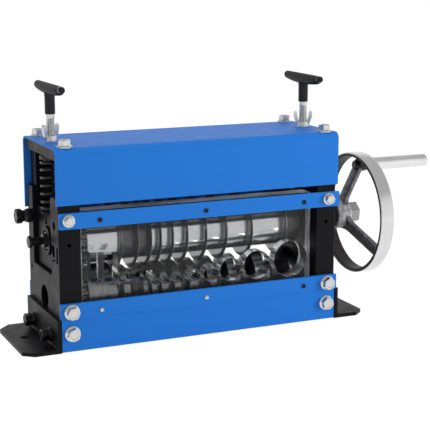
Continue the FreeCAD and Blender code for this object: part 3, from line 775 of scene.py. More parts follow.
@dataclass(frozen=True)
class TurnedSteel(Finish):
    """Steel with fine rings or lines across one axis."""

    roughness: float = 0.3
    lines: Triple = (2600.0, 14.0, 14.0)
    cut: float = 0.12
    streak: float = 0.16

    def make(self) -> bpy.types.Material:
        """Builds the material.

        Returns:
            Metal whose tone, gloss and bump follow its tool marks.
        """
        metal = Shader(self.name)
        rings = metal.noise(1.0, detail=3.0, roughness=0.7, place=metal.stretched(self.lines))
        cloud = metal.noise(30.0, detail=3.0)
        dark, light = scaled(self.colour, 1 - self.streak), scaled(self.colour, 1 + self.streak)
        tone = metal.blend(rings, dark, light)
        tone = metal.blend(metal.ranged(cloud, 0.45, 0.75, 0.0, 0.3), tone, scaled(self.colour, 0.7))
        rough = metal.ranged(rings, 0.25, 0.75, self.roughness * 0.75, self.roughness * 1.3)
        return metal.close(metal.surface(
            Base_Color=tone, Metallic=1.0, Roughness=rough, Normal=metal.bump(rings, self.cut, 0.00012)))


@dataclass(frozen=True)
class CastIron(Finish):
    """Sand-cast iron with a thin grey paint and a pitted skin."""

    roughness: float = 0.5
    pits: float = 0.5

    def make(self) -> bpy.types.Material:
        """Builds the material.

        Returns:
            Half metallic paint over lumps and grains of sand.
        """
        iron = Shader(self.name)
        sand = iron.noise(850.0, detail=5.0, roughness=0.65)
        lumps = iron.noise(210.0, detail=4.0)
        dark, light = scaled(self.colour, 0.62), scaled(self.colour, 1.3)
        tone = iron.blend(iron.ranged(lumps, 0.35, 0.65), dark, light)
        rough = iron.ranged(sand, 0.3, 0.7, self.roughness - 0.12, self.roughness + 0.15)
        skin = iron.bump(lumps, self.pits, 0.0012)
        skin = iron.bump(sand, self.pits, 0.0005, under=skin)
        return iron.close(iron.surface(Base_Color=tone, Metallic=0.55, Roughness=rough, Normal=skin))


@dataclass(frozen=True)
class MouldedPlastic(Finish):
    """Injection moulded plastic or lacquer, grained or glossy."""

    roughness: float = 0.5
    grain: float = 0.2
    gloss: float = 0.35

    def make(self) -> bpy.types.Material:
        """Builds the material.

        Returns:
            Plastic with soft clouds and a moulded grain.
        """
        plastic = Shader(self.name)
        grain = plastic.noise(1900.0, detail=3.0)
        tone = plastic.blend(plastic.noise(60.0), scaled(self.colour, 0.85), scaled(self.colour, 1.15))
        rough = plastic.ranged(grain, 0.3, 0.7, self.roughness - 0.06, self.roughness + 0.08)
        return plastic.close(plastic.surface(
            Base_Color=tone, Roughness=rough, Specular_IOR_Level=self.gloss,
            Normal=plastic.bump(grain, self.grain, 0.0002)))


@dataclass(frozen=True)
class ClearAcrylic(Finish):
    """Thick clear acrylic that lets the lamps through to what is behind it."""

    colour: Colour = (0.985, 0.992, 0.995, 1.0)
    roughness: float = 0.004
    marks: float = 0.0
    shine: float = 0.3
    tool_lines: Triple = (1100.0, 30.0, 1100.0)

    def make(self) -> bpy.types.Material:
        """Builds the material.

        Returns:
            Glass with tool marks, open to the rays that cast shadows.
        """
        clear = Shader(self.name)
        haze = clear.ranged(clear.noise(90.0), 0.35, 0.8, self.roughness, self.roughness * 2.0)
        cuts = clear.noise(1.0, detail=2.0, place=clear.stretched(self.tool_lines))
        body = clear.surface(
            Base_Color=self.colour, Roughness=haze, IOR=1.49, Transmission_Weight=1.0,
            Normal=clear.bump(cuts, self.marks, 0.0002), Specular_Tint=scaled(WHITE, self.shine))
        open_air = clear.node("ShaderNodeBsdfTransparent", {"Color": self.colour})
        path = clear.node("ShaderNodeLightPath")
        return clear.close(clear.node("ShaderNodeMixShader", {
            0: path.outputs["Is Shadow Ray"], 1: body.outputs[0], 2: open_air.outputs[0]}))


def grey(level: float, blue: float = 0.0) -> Colour:
    """A linear grey, with a little more blue."""
    return (level, level, level + blue, 1.0)


@dataclass(frozen=True)
class Finishes:
    """Every finish of the machine."""

    frame_black: Finish = PowderCoat("black_powder_coat", linear(15, 15, 19), peel=0.12, gloss=0.11)
    sheet_blue: Finish = PowderCoat(
        "blue_powder_coat", linear(29, 115, 205), roughness=0.5, peel=0.06, fleck=0.03, gloss=0.22)
    acrylic: Finish = ClearAcrylic("clear_acrylic")
    acrylic_bored: Finish = ClearAcrylic("bored_acrylic", roughness=0.11, marks=0.7, shine=1.0)
    acrylic_sawn: Finish = ClearAcrylic(
        "sawn_acrylic", grey(0.5, 0.02), roughness=0.3, marks=0.3, shine=1.0)
    zinc: Finish = BrightZinc("bright_zinc", grey(0.66, -0.01))
    black_bolt: Finish = MouldedPlastic("blackened_steel", linear(18, 18, 21), roughness=0.3, grain=0.15)
    gasket: Finish = MouldedPlastic("black_gasket", linear(14, 14, 15), roughness=0.7, gloss=0.1)
    # Flat black for the bars' backs against the clear plate: painted contact shade.
    tee_bar: Finish = MouldedPlastic("tee_bar_plastic", linear(13, 13, 21), grain=0.25, gloss=0.15)
    tee_stem: Finish = MouldedPlastic(
        "tee_stem_plastic", linear(14, 15, 22), roughness=0.2, grain=0.05, gloss=0.25)
    knob: Finish = MouldedPlastic("knob_plastic", linear(17, 17, 21), roughness=0.32, grain=0.1)
    spring: Finish = MouldedPlastic("spring_lacquer", linear(20, 20, 24), roughness=0.22, grain=0.06)
    cast: Finish = CastIron("rough_cast", linear(178, 176, 180))
    spoke: Finish = CastIron("smooth_cast", linear(122, 122, 127), roughness=0.42, pits=0.12)
    band: Finish = CastIron("dark_cast", linear(52, 48, 48), pits=0.15)
    nut: Finish = TurnedSteel(
        "plain_steel_nut", grey(0.34, 0.005), roughness=0.24, lines=(60.0, 60.0, 60.0), cut=0.05)
    rim: Finish = TurnedSteel(
        "polished_rim", grey(0.70, 0.01), roughness=0.22, lines=(900.0, 25.0, 25.0), cut=0.05)
    grip: Finish = TurnedSteel(
        "polished_grip", grey(0.78, 0.01), roughness=0.2, lines=(30.0, 900.0, 900.0), cut=0.04)
    drum: Finish = TurnedSteel("turned_collar", grey(0.46, 0.01), roughness=0.16, cut=0.02, streak=0.06)
    # A darker copy of the collar steel: painted shade on the collars that look dim.
    dull_collar: Finish = TurnedSteel("dull_collar", grey(0.07, 0.003), cut=0.02, streak=0.06)
    roller: Finish = TurnedSteel("turned_roller", grey(0.15, 0.005), roughness=0.24, cut=0.04, streak=0.12)
    # Painted shade in the roller's grooves: the same steel, much darker.
    groove: Finish = TurnedSteel("roller_groove", grey(0.035, 0.002), roughness=0.36, cut=0.06)
    blade: Finish = TurnedSteel(
        "ground_blade", grey(0.20, 0.005), roughness=0.2, lines=(40.0, 1400.0, 1400.0), cut=0.04)
    # Dark steel for the gears and shafts: painted shade, where they sit in shade inside the frame.
    gear: Finish = TurnedSteel("oiled_gear", grey(0.08, 0.005), roughness=0.4)
    # Near black bearing rings: painted shade inside the bearing blocks.
    bearing: Finish = TurnedSteel("bearing_ring", grey(0.05, 0.003), roughness=0.35)


# ---------------------------------------------------------------- the frame

class Machine:
    """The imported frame, with the calls that join a new piece to it."""

    WELD = 2e-6
    FLAT_DEGREES = 0.6
    EDGE_DEGREES = 38.0

    def __init__(self) -> None:
        """Loads the frame and notes each node's body and slot."""
        self.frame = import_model()
        record = self.frame["record"]
        self.bodies = {node: body for body, nodes in record["behaviour"]["bodies"].items()
                       for node in nodes}
        self.slots = {entry["node"]: entry["material_slot"] for entry in record["subparts"]}

    def dress_node(self, node: str, finish: Finish) -> None:
        """Gives a node that stays visible its finish."""
        dress(self.frame["nodes"][node], finish)
        LOG.info("%s dressed with %s", node, finish.name)

    def seat(self, piece: bpy.types.Object, *nodes: str, body: str | None = None) -> None:
        """Lets a piece stand for nodes and ride on their body.

        Args:
            piece: The finished piece.
            *nodes: The nodes that it stands for.
            body: The body it rides on, or None for the first node's own.
        """
        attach(piece, body or self.bodies[nodes[0]])
        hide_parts(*nodes)
        LOG.info("%s stands for %s", piece.name, ", ".join(nodes))

    def eased(self, node: str, name: str, width: float, *finishes: Finish) -> bpy.types.Object:
        """A copy of a node with its sharp edges rounded, which then stands for it.

        Args:
            node: The node to copy.
            name: The new piece's name.
            width: How far the rounding reaches from each edge.
            *finishes: The piece's finishes.

        Returns:
            The new piece.
        """
        shape = bmesh.new()
        shape.from_mesh(self.frame["nodes"][node].data)
        bmesh.ops.remove_doubles(shape, verts=shape.verts, dist=self.WELD)
        bmesh.ops.dissolve_limit(
            shape, angle_limit=math.radians(self.FLAT_DEGREES), verts=shape.verts, edges=shape.edges)
        mesh = bpy.data.meshes.new(name)
        shape.to_mesh(mesh)
        shape.free()
        mesh.shade_smooth()
        piece = add_object(name, mesh)
        ease(piece, width, self.EDGE_DEGREES)
        flatten = piece.modifiers.new("flatten", "WEIGHTED_NORMAL")
        flatten.mode, flatten.weight = "FACE_AREA", 100
        bake(piece)
        dress(piece, *finishes)
        self.seat(piece, node)
        return piece


# ---------------------------------------------------------------- studio

@dataclass(frozen=True)
class Lamp:
    """A rectangular soft lamp that polished steel doesn't mirror."""

    name: str
    place: Triple
    size: Pair
    watts: float

    def hang(self, aim: Triple) -> None:
        """Hangs the lamp.

        Args:
            aim: The point that it faces.
        """
        data = bpy.data.lights.new(self.name, "AREA")
        data.shape = "RECTANGLE"
        data.size, data.size_y = self.size
        data.energy = self.watts
        holder = bpy.data.objects.new(self.name, data)
        holder.location = self.place
        holder.visible_glossy = False
        holder.rotation_euler = (Vector(aim) - Vector(self.place)).to_track_quat("-Z", "Y").to_euler()
        bpy.context.scene.collection.objects.link(holder)


@dataclass
class Studio:
    """Camera, floor, white surroundings and soft lamps."""

    camera_place: Triple = (-0.5529, -1.3228, 0.4205)
    yaw: float = 24.19
    pitch: float = 11.4
    lens: float = 102.62
    sensor: float = 36.0
    farthest: float = 50.0
    floor_half: float = 30.0
    floor_white: float = 0.8
    floor_glow: float = 1.13
    ambient: float = 0.55
    dim_side: Triple = (-0.72, -0.35, 0.6)
    dim_level: float = 0.4
    ceiling_level: float = 0.35
    lamp_aim: Triple = (0.0, 0.0, 0.12)
    lamps: tuple[Lamp, ...] = (
        Lamp("front_box", (1.45, -1.2, 0.35), (0.8, 0.8), 21.0),
        Lamp("top_box", (-0.2, 0.1, 2.1), (1.6, 1.2), 12.0))

    def camera(self) -> None:
        """Stands the camera."""
        data = bpy.data.cameras.new("camera")
        data.lens, data.sensor_width, data.clip_end = self.lens, self.sensor, self.farthest
        holder = bpy.data.objects.new("camera", data)
        holder.location = self.camera_place
        holder.rotation_euler = (math.radians(90 - self.pitch), 0.0, math.radians(-self.yaw))
        bpy.context.scene.collection.objects.link(holder)
        bpy.context.scene.camera = holder

    def floor(self) -> None:
        """Lays a pale floor that shows white, and keeps a part of the shadow."""
        half = self.floor_half
        mesh = bpy.data.meshes.new("floor")
        mesh.from_pydata([(-half, -half, 0.0), (half, -half, 0.0), (half, half, 0.0), (-half, half, 0.0)],
                         [], [(0, 1, 2, 3)])
        floor = add_object("floor", mesh)
        pale = Shader("pale_floor")
        tone = pale.blend(pale.noise(40.0), grey(0.86), grey(0.90))
        matte = pale.surface(Base_Color=tone, Roughness=0.9)
        white = pale.node("ShaderNodeEmission", {"Color": WHITE, "Strength": self.floor_glow})
        path = pale.node("ShaderNodeLightPath").outputs
        seen = pale.math("MAXIMUM", path["Is Camera Ray"], path["Is Transmission Ray"])
        seen = pale.math("MAXIMUM", seen, path["Is Glossy Ray"])
        mesh.materials.append(pale.close(pale.node("ShaderNodeMixShader", {
            0: seen * self.floor_white, 1: matte.outputs[0], 2: white.outputs[0]})))

    def surroundings(self) -> None:
        """White for what looks at it, softer as a light, and dimmer in mirrors on one side."""
        world = bpy.data.worlds.new("white_room")
        world.use_nodes = True
        bpy.context.scene.world = world
        sheet = NodeSheet(world.node_tree)
        sheet.tree.nodes.clear()
        path = sheet.node("ShaderNodeLightPath").outputs
        straight = sheet.math("MAXIMUM", path["Is Camera Ray"], path["Is Transmission Ray"])
        way = sheet.node("ShaderNodeTexCoord").outputs["Generated"]
        toward = sheet.node("ShaderNodeVectorMath", {0: way, 1: self.dim_side}, operation="DOT_PRODUCT")
        sideways = sheet.ranged(toward.outputs["Value"], 0.15, 0.8, 1.0, self.dim_level, smooth=True)
        overhead = sheet.ranged(sheet.split(way)[2], 0.3, 0.75, 1.0, self.ceiling_level, smooth=True)
        mirrored = sheet.math("MINIMUM", sideways, overhead) * path["Is Glossy Ray"]
        seen = sheet.math("MAXIMUM", straight, mirrored)
        light = sheet.node("ShaderNodeBackground", {
            "Color": WHITE, "Strength": sheet.math("MAXIMUM", seen, self.ambient)})
        out = sheet.node("ShaderNodeOutputWorld")
        sheet.feed(out.inputs["Surface"], light.outputs[0])

    def build(self) -> None:
        """Sets up the whole studio."""
        bpy.context.scene.view_settings.view_transform = "Standard"
        self.camera()
        self.floor()
        self.surroundings()
        for lamp in self.lamps:
            lamp.hang(self.lamp_aim)


# ---------------------------------------------------------------- fasteners

@dataclass(frozen=True)
class BoltSize:
    """Sizes of a hexagon bolt with a flange."""

    flange_radius: float
    flange_height: float
    across_flats: float
    head_height: float
    shank_radius: float
    shank_length: float


@dataclass(frozen=True)
class ScrewSize:
    """Sizes of a pan screw."""

    head_radius: float
    head_height: float
    socket: float
    shank_length: float


@dataclass
class Fasteners:
    """Flange bolts and pan screws of the frame."""

    small: BoltSize = BoltSize(0.0071, 0.0009, 0.010, 0.007, 0.003, 0.018)
    large: BoltSize = BoltSize(0.00895, 0.0011, 0.013, 0.0085, 0.004, 0.020)
    heavy: BoltSize = replace(large, flange_radius=0.008, head_height=0.011)
    screw: ScrewSize = ScrewSize(0.0027, 0.002, 0.0014, 0.011)
    bar_face: float = -0.063
    strip_face: float = -0.0645
    rear_face: float = 0.063
    cover_top: float = 0.2292
    foot_face: float = 0.1775
    bar_bolt: Pair = (0.162, 0.1495)
    strip_bolt: Pair = (0.161, 0.0465)
    panel_bolt: Pair = (0.1605, 0.0215)
    rear_bolt_x: float = 0.1605
    rear_heights: Triple = (0.014, 0.044, 0.1345)
    cover_bolt_x: float = 0.161
    cover_depths: Pair = (-0.051, 0.052)
    foot_depths: Pair = (-0.033, 0.035)
    foot_bolt_height: float = 0.015
    screw_places: Triple = (-0.126, 0.002, 0.129)
    upper_screw_height: float = 0.148
    lower_screw_height: float = 0.0457
    bright_screws: tuple[int, ...] = (3, 4)

    def bolt_tree(self) -> GrownTree:
        """A hexagon bolt with a conical flange, chamfered corners and a dished head.

        Returns:
            The tree.
        """
        tree = GrownTree("flange_bolt", BoltSize)
        flange, edge = tree.size("flange_radius"), tree.size("flange_height")
        flats, height = tree.size("across_flats"), tree.size("head_height")
        length = tree.size("shank_length")
        top_radius, dish_depth = flats * 0.455, flats * 0.05
        prism = tree.solid("Cylinder", {
            "Vertices": 6, "Radius": flats / math.sqrt(3), "Depth": height}, up=height / 2.0)
        cone = tree.solid("Cone", {
            "Vertices": 60, "Radius Top": top_radius, "Radius Bottom": top_radius + height * 1.9,
            "Depth": height})
        dish = tree.solid("Cone", {
            "Vertices": 60, "Radius Top": flats * 0.40, "Radius Bottom": flats * 0.33,
            "Depth": dish_depth * 2.0}, up=height - dish_depth)
        head = tree.combined("DIFFERENCE", tree.combined("INTERSECT", prism, cone), dish)
        rim = tree.solid("Cylinder", {"Vertices": 72, "Radius": flange, "Depth": edge}, up=edge / 2.0)
        skirt = tree.solid("Cone", {
            "Vertices": 72, "Radius Top": flats / 1.9, "Radius Bottom": flange, "Depth": flange * 0.16},
            up=edge)
        shank = tree.solid("Cylinder", {
            "Vertices": 32, "Radius": tree.size("shank_radius"), "Depth": length}, up=length / -2.0)
        return tree.end(tree.seated(tree.smoothed(tree.joined(head, rim, skirt, shank))))

    def screw_tree(self) -> GrownTree:
        """A pan screw with a hexagon socket.

        Returns:
            The tree.
        """
        tree = GrownTree("pan_screw", ScrewSize)
        radius, height = tree.size("head_radius"), tree.size("head_height")
        length = tree.size("shank_length")
        lower = tree.solid("Cylinder", {
            "Vertices": 40, "Radius": radius, "Depth": height * 0.45}, up=height * 0.225)
        upper = tree.solid("Cone", {
            "Vertices": 40, "Radius Top": radius * 0.66, "Radius Bottom": radius, "Depth": height * 0.55},
            up=height * 0.45)
        hollow = tree.solid("Cylinder", {
            "Vertices": 6, "Radius": tree.size("socket"), "Depth": height}, up=height)
        shank = tree.solid("Cylinder", {
            "Vertices": 24, "Radius": radius * 0.7, "Depth": length}, up=length / -2.0)
        upper = tree.combined("DIFFERENCE", upper, hollow)
        return tree.end(tree.seated(tree.smoothed(tree.joined(lower, upper, shank))))

    def seats(self) -> dict[str, list[Seat]]:
        """Where each node's bolts stand, each turned by an angle of its own.

        Returns:
            The seats by node.
        """
        front, back, up = (0.0, -1.0, 0.0), (0.0, 1.0, 0.0), (0.0, 0.0, 1.0)
        signs = [float(side.value) for side in Side]
        bar_x, bar_z = self.bar_bolt
        strip_x, strip_z = self.strip_bolt
        panel_x, panel_z = self.panel_bolt
        bar, strip, rear = self.bar_face, self.strip_face, self.rear_face
        return {
            "upper_bar_bolts": [
                Seat((sign * bar_x, bar, bar_z), front, 0.2 * sign) for sign in signs],
            "front_panel_bolts": [
                *(Seat((sign * strip_x, strip, strip_z), front, 0.3 + 0.2 * sign) for sign in signs),
                *(Seat((sign * panel_x, bar, panel_z), front, 0.75 * sign) for sign in signs)],
            "rear_bolts": [
                Seat((sign * self.rear_bolt_x, rear, height), back, 40.0 * height)
                for sign in signs for height in self.rear_heights],
            "cover_bolts": [
                Seat((sign * self.cover_bolt_x, depth, self.cover_top), up, 9.0 * depth + 0.4 * sign)
                for sign in signs for depth in self.cover_depths],
            "foot_bolts": [
                Seat((sign * self.foot_face, depth, self.foot_bolt_height), (sign, 0.0, 0.0), 12.0 * depth)
                for sign in signs for depth in self.foot_depths],
            "window_screws": [
                *(Seat((place, bar, self.upper_screw_height), front, 8.0 * place)
                  for place in self.screw_places),
                *(Seat((place, strip, self.lower_screw_height), front, 9.0 * place)
                  for place in self.screw_places)],
        }

    def build(self, machine: Machine, finishes: Finishes) -> None:
        """Makes each group of fasteners and seats it.

        Args:
            machine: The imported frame.
            finishes: All finishes.
        """
        bolts, screws, seats = self.bolt_tree(), self.screw_tree(), self.seats()
        for node, size, finish in (
                ("upper_bar_bolts", self.small, finishes.zinc),
                ("front_panel_bolts", self.large, finishes.zinc),
                ("rear_bolts", self.large, finishes.zinc),
                ("cover_bolts", self.large, finishes.zinc),
                ("foot_bolts", self.heavy, finishes.black_bolt)):
            machine.seat(bolts.grow(node + "_made", finish, size, seats[node]), node)
        bright = [seats["window_screws"][index] for index in self.bright_screws]
        black = [seat for seat in seats["window_screws"] if seat not in bright]
        for node, finish, places in (
                ("window_screws_black", finishes.black_bolt, black),
                ("window_screws_bright", finishes.zinc, bright)):
            machine.seat(screws.grow(node + "_made", finish, self.screw, places), node)


# ---------------------------------------------------------------- frame pieces

class Coat(Enum):
    """Material slots of the bars that hold the clear plate: their paint, and a flat black painted as the
    shade where they lie against the plate.
    """

    PAINT = 0
    GASKET = 1


@dataclass
class FramePieces:
    """Plates, blocks, feet, sheet cover, bars and panels."""

    plate_ease: float = 0.0005
    sheet_ease: float = 0.0006
    faces_back: float = 0.9
    plates: tuple[str, ...] = ("side_plate", "top_block", "foot", "bearing_block")
    sheets: tuple[str, ...] = ("top_cover", "front_lower_panel", "rear_lower_panel", "rear_upper_bar")
    lined_bars: tuple[str, ...] = ("front_upper_bar", "front_lower_bar")

    def build(self, machine: Machine, finishes: Finishes) -> None:
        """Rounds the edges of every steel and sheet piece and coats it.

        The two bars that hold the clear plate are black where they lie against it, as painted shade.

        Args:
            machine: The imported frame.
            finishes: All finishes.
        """
        for side in Side:
            for part in self.plates:
                node = f"{side.word}_{part}"
                machine.eased(node, node + "_coated", self.plate_ease, finishes.frame_black)
        for node in self.sheets:
            machine.eased(node, node + "_coated", self.sheet_ease, finishes.sheet_blue)
        for node in self.lined_bars:
            bar = machine.eased(
                node, node + "_coated", self.sheet_ease, finishes.sheet_blue, finishes.gasket)
            # Faces that lie against the clear plate take the flat black as painted shade.
            for face in bar.data.polygons:
                coat = Coat.GASKET if face.normal.y > self.faces_back else Coat.PAINT
                face.material_index = coat.value


class Acrylic(Enum):
    """Material slots of the clear plate."""

    FACE = 0
    BORED = 1
    SAWN = 2


@dataclass
class InletPlate:
    """Thick clear plate with round and flat wire inlets, its edges polished."""

    edge: float = 0.0004
    edge_degrees: float = 45.0
    sharp_degrees: float = 12.0
    flat_degrees: float = 0.5
    faces_out: float = 0.95
    hole_steps: int = 96
    line_height: float = 0.0665
    line_rise: float = 0.31
    round_inlets: tuple[Pair, ...] = (
        (-0.058, 0.008), (-0.046, 0.009), (-0.031, 0.011), (-0.012, 0.015),
        (0.010, 0.0195), (0.0345, 0.027), (0.069, 0.034), (0.113, 0.0435))
    flat_inlets: tuple[tuple[float, float, float, float], ...] = (
        (-0.130, 0.014, 0.077, 0.111), (-0.113, 0.0165, 0.076, 0.110),
        (-0.094, 0.018, 0.071, 0.082), (-0.074, 0.020, 0.072, 0.084))

    def loops(self, low: Vector, high: Vector) -> list[list[Pair]]:
        """Outlines of the plate and of its openings.

        Args:
            low: The plate's low corner.
            high: Its high corner.

        Returns:
            The outlines, as X and Z.
        """
        outlines = [[(low.x, low.z), (high.x, low.z), (high.x, high.z), (low.x, high.z)]]
        for middle, diameter in self.round_inlets:
            height = self.line_height + self.line_rise * diameter
            radius = diameter / 2
            angles = [2 * math.pi * step / self.hole_steps for step in range(self.hole_steps)]
            outlines.append([(middle + radius * math.cos(angle), height + radius * math.sin(angle))
                             for angle in angles])
        for middle, width, bottom, top in self.flat_inlets:
            left, right = middle - width / 2, middle + width / 2
            outlines.append([(left, bottom), (right, bottom), (right, top), (left, top)])
        return outlines

    def solid(self, low: Vector, high: Vector) -> bpy.types.Mesh:
        """Fills the outline and gives it its thickness.

        Args:
            low: The plate's low corner.
            high: Its high corner.

        Returns:
            The plate with hard edges.
        """
        shape = bmesh.new()
        edges = []
        for outline in self.loops(low, high):
            corners = [shape.verts.new((across, low.y, up)) for across, up in outline]
            edges += [shape.edges.new(pair) for pair in zip(corners[-1:] + corners, corners)]
        bmesh.ops.triangle_fill(shape, edges=edges, use_beauty=True, use_dissolve=False)
        grown = bmesh.ops.extrude_face_region(shape, geom=list(shape.faces), use_keep_orig=True)
        moved = [item for item in grown["geom"] if isinstance(item, bmesh.types.BMVert)]
        bmesh.ops.translate(shape, verts=moved, vec=(0.0, high.y - low.y, 0.0))
        bmesh.ops.dissolve_limit(
            shape, angle_limit=math.radians(self.flat_degrees), verts=shape.verts, edges=shape.edges)
        bmesh.ops.recalc_face_normals(shape, faces=shape.faces)
        mesh = bpy.data.meshes.new("clear_inlet_plate")
        shape.to_mesh(mesh)
        shape.free()
        return mesh

    def build(self, machine: Machine, finishes: Finishes) -> None:
        """Makes the plate, breaks its edges and tells its three skins apart.

        Args:
            machine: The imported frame.
            finishes: All finishes.
        """
        low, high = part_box("inlet_plate")
        piece = add_object("clear_inlet_plate", self.solid(low, high))
        ease(piece, self.edge, self.edge_degrees)
        bake(piece)
        piece.data.shade_smooth()
        piece.data.set_sharp_from_angle(angle=math.radians(self.sharp_degrees))
        for face in piece.data.polygons:
            across, up = face.center.x, face.center.z
            outer = min(across - low.x, high.x - across, up - low.z, high.z - up) < self.edge / 2
            walled = abs(face.normal.y) < self.faces_out
            kind = Acrylic.SAWN if outer else Acrylic.BORED if walled else Acrylic.FACE
            face.material_index = kind.value
        dress(piece, finishes.acrylic, finishes.acrylic_bored, finishes.acrylic_sawn)
        machine.seat(piece, "inlet_plate")


# ---------------------------------------------------------------- rotating parts

class Turned(Enum):
    """Material slots of the collars and of the roller; the second slot is a darker copy of the steel that
    paints shade.
    """

    BRIGHT = 0
    DULL = 1


@dataclass
class Drums:
    """Blade drum and grooved feed roller, as turned steel."""

    blade_places: tuple[float, ...] = (
        -0.094, -0.074, -0.058, -0.046, -0.031, -0.013, 0.011, 0.037, 0.070, 0.115)
    blade_half: float = 0.0015
    # Collars that take painted shade, and how far the last collar stays bright before its painted shade
    # begins.
    dull_collars: tuple[int, ...] = (1, 2)
    bright_end: float = 0.0055
    collar_radius: float = 0.0274
    first_radius: float = 0.0298
    bore: float = 0.0101
    chamfer: float = 0.0006
    steps: int = 96
    roller_radius: float = 0.031
    first_land: float = 0.0346
    roller_sharp: float = 20.0
    grooves: tuple[Triple, ...] = (
        (-0.094, 0.0046, 0.0055), (-0.0735, 0.0083, 0.0055), (-0.058, 0.0027, 0.0048),
        (-0.046, 0.0032, 0.0050), (-0.031, 0.0042, 0.0055), (-0.013, 0.0056, 0.0066),
        (0.011, 0.0074, 0.0080), (0.037, 0.0095, 0.0096), (0.070, 0.0120, 0.0116), (0.113, 0.0155, 0.0136))

    def collars(self) -> bpy.types.Object:
        """Builds the collars between the blades; the first one is the largest.

        Returns:
            The collars, with painted shade on the dim ones and on the last one beyond its bright end.
        """
        low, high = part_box("spacer_collars")
        starts = [low.x] + [place + self.blade_half for place in self.blade_places]
        ends = [place - self.blade_half for place in self.blade_places] + [high.x]
        # The dim collars, and the last one beyond its bright end, take the darker slot: painted shade.
        spans = [(start, end, Turned.DULL if index in self.dull_collars else Turned.BRIGHT)
                 for index, (start, end) in enumerate(zip(starts, ends))]
        last_start, last_end, _ = spans.pop()
        middle = last_start + self.bright_end
        spans += [(last_start, middle, Turned.BRIGHT), (middle, last_end, Turned.DULL)]
        shape = bmesh.new()
        for index, (start, end, skin) in enumerate(spans):
            radius = self.collar_radius if index else self.first_radius
            profile = ((start, self.bore), (start, radius - self.chamfer), (start + self.chamfer, radius),
                       (end - self.chamfer, radius), (end, radius - self.chamfer), (end, self.bore))
            add_lathe(shape, profile, Axis.X, (0.0, 0.0, BLADE_AXIS_HEIGHT), self.steps, skin.value)
        return from_bmesh("turned_collars", shape)

    def roller(self) -> bpy.types.Object:
        """Builds the feed roller with a groove under each blade.

        Returns:
            The roller, with painted shade in its grooves.
        """
        low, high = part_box("feed_roller")
        full, land, chamfer = self.roller_radius, self.first_land, self.chamfer
        first_end = self.grooves[0][0] - self.grooves[0][1]
        profile = [(low.x, self.bore), (low.x, land - chamfer), (low.x + chamfer, land),
                   (first_end - chamfer, land), (first_end, land - chamfer)]
        for middle, half, depth in self.grooves:
            profile += [(middle - half, full), (middle - half / 3, full - depth),
                        (middle + half / 3, full - depth), (middle + half, full)]
        profile += [(high.x - chamfer, full), (high.x, full - chamfer), (high.x, self.bore)]
        shape = bmesh.new()
        for face in add_lathe(shape, profile, Axis.X, (0.0, 0.0, FEED_AXIS_HEIGHT), self.steps):
            lowest = min(math.hypot(corner.co.y, corner.co.z - FEED_AXIS_HEIGHT) for corner in face.verts)
            # Faces sunk below the full radius, in the grooves, take the darker steel as painted shade.
            skin = Turned.BRIGHT if lowest > full - chamfer / 2 else Turned.DULL
            face.material_index = skin.value
        return from_bmesh("turned_roller", shape, self.roller_sharp)

    def build(self, machine: Machine, finishes: Finishes) -> None:
        """Makes collars and roller, and dresses the other turned pieces.

        Args:
            machine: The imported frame.
            finishes: All finishes.
        """
        collars = self.collars()
        dress(collars, finishes.drum, finishes.dull_collar)
        machine.seat(collars, "spacer_collars")
        roller = self.roller()
        dress(roller, finishes.roller, finishes.groove)
        machine.seat(roller, "feed_roller")
        for number in range(1, len(self.blade_places) + 1):
            machine.dress_node(f"blade_{number}", finishes.blade)
        # Shafts and gears take the dark steel as painted shade.
        for node in ("blade_shaft", "feed_shaft", "upper_gear", "lower_gear"):
            machine.dress_node(node, finishes.gear)
        # Bearings take the near black steel as painted shade.
        for side in Side:
            for part in ("blade_bearing", "feed_bearing"):
                machine.dress_node(f"{side.word}_{part}", finishes.bearing)


class Cast(Enum):
    """Material slots of the wheel casting."""

    ROUGH = 0
    SPOKE = 1
    BAND = 2
    POLISHED = 3


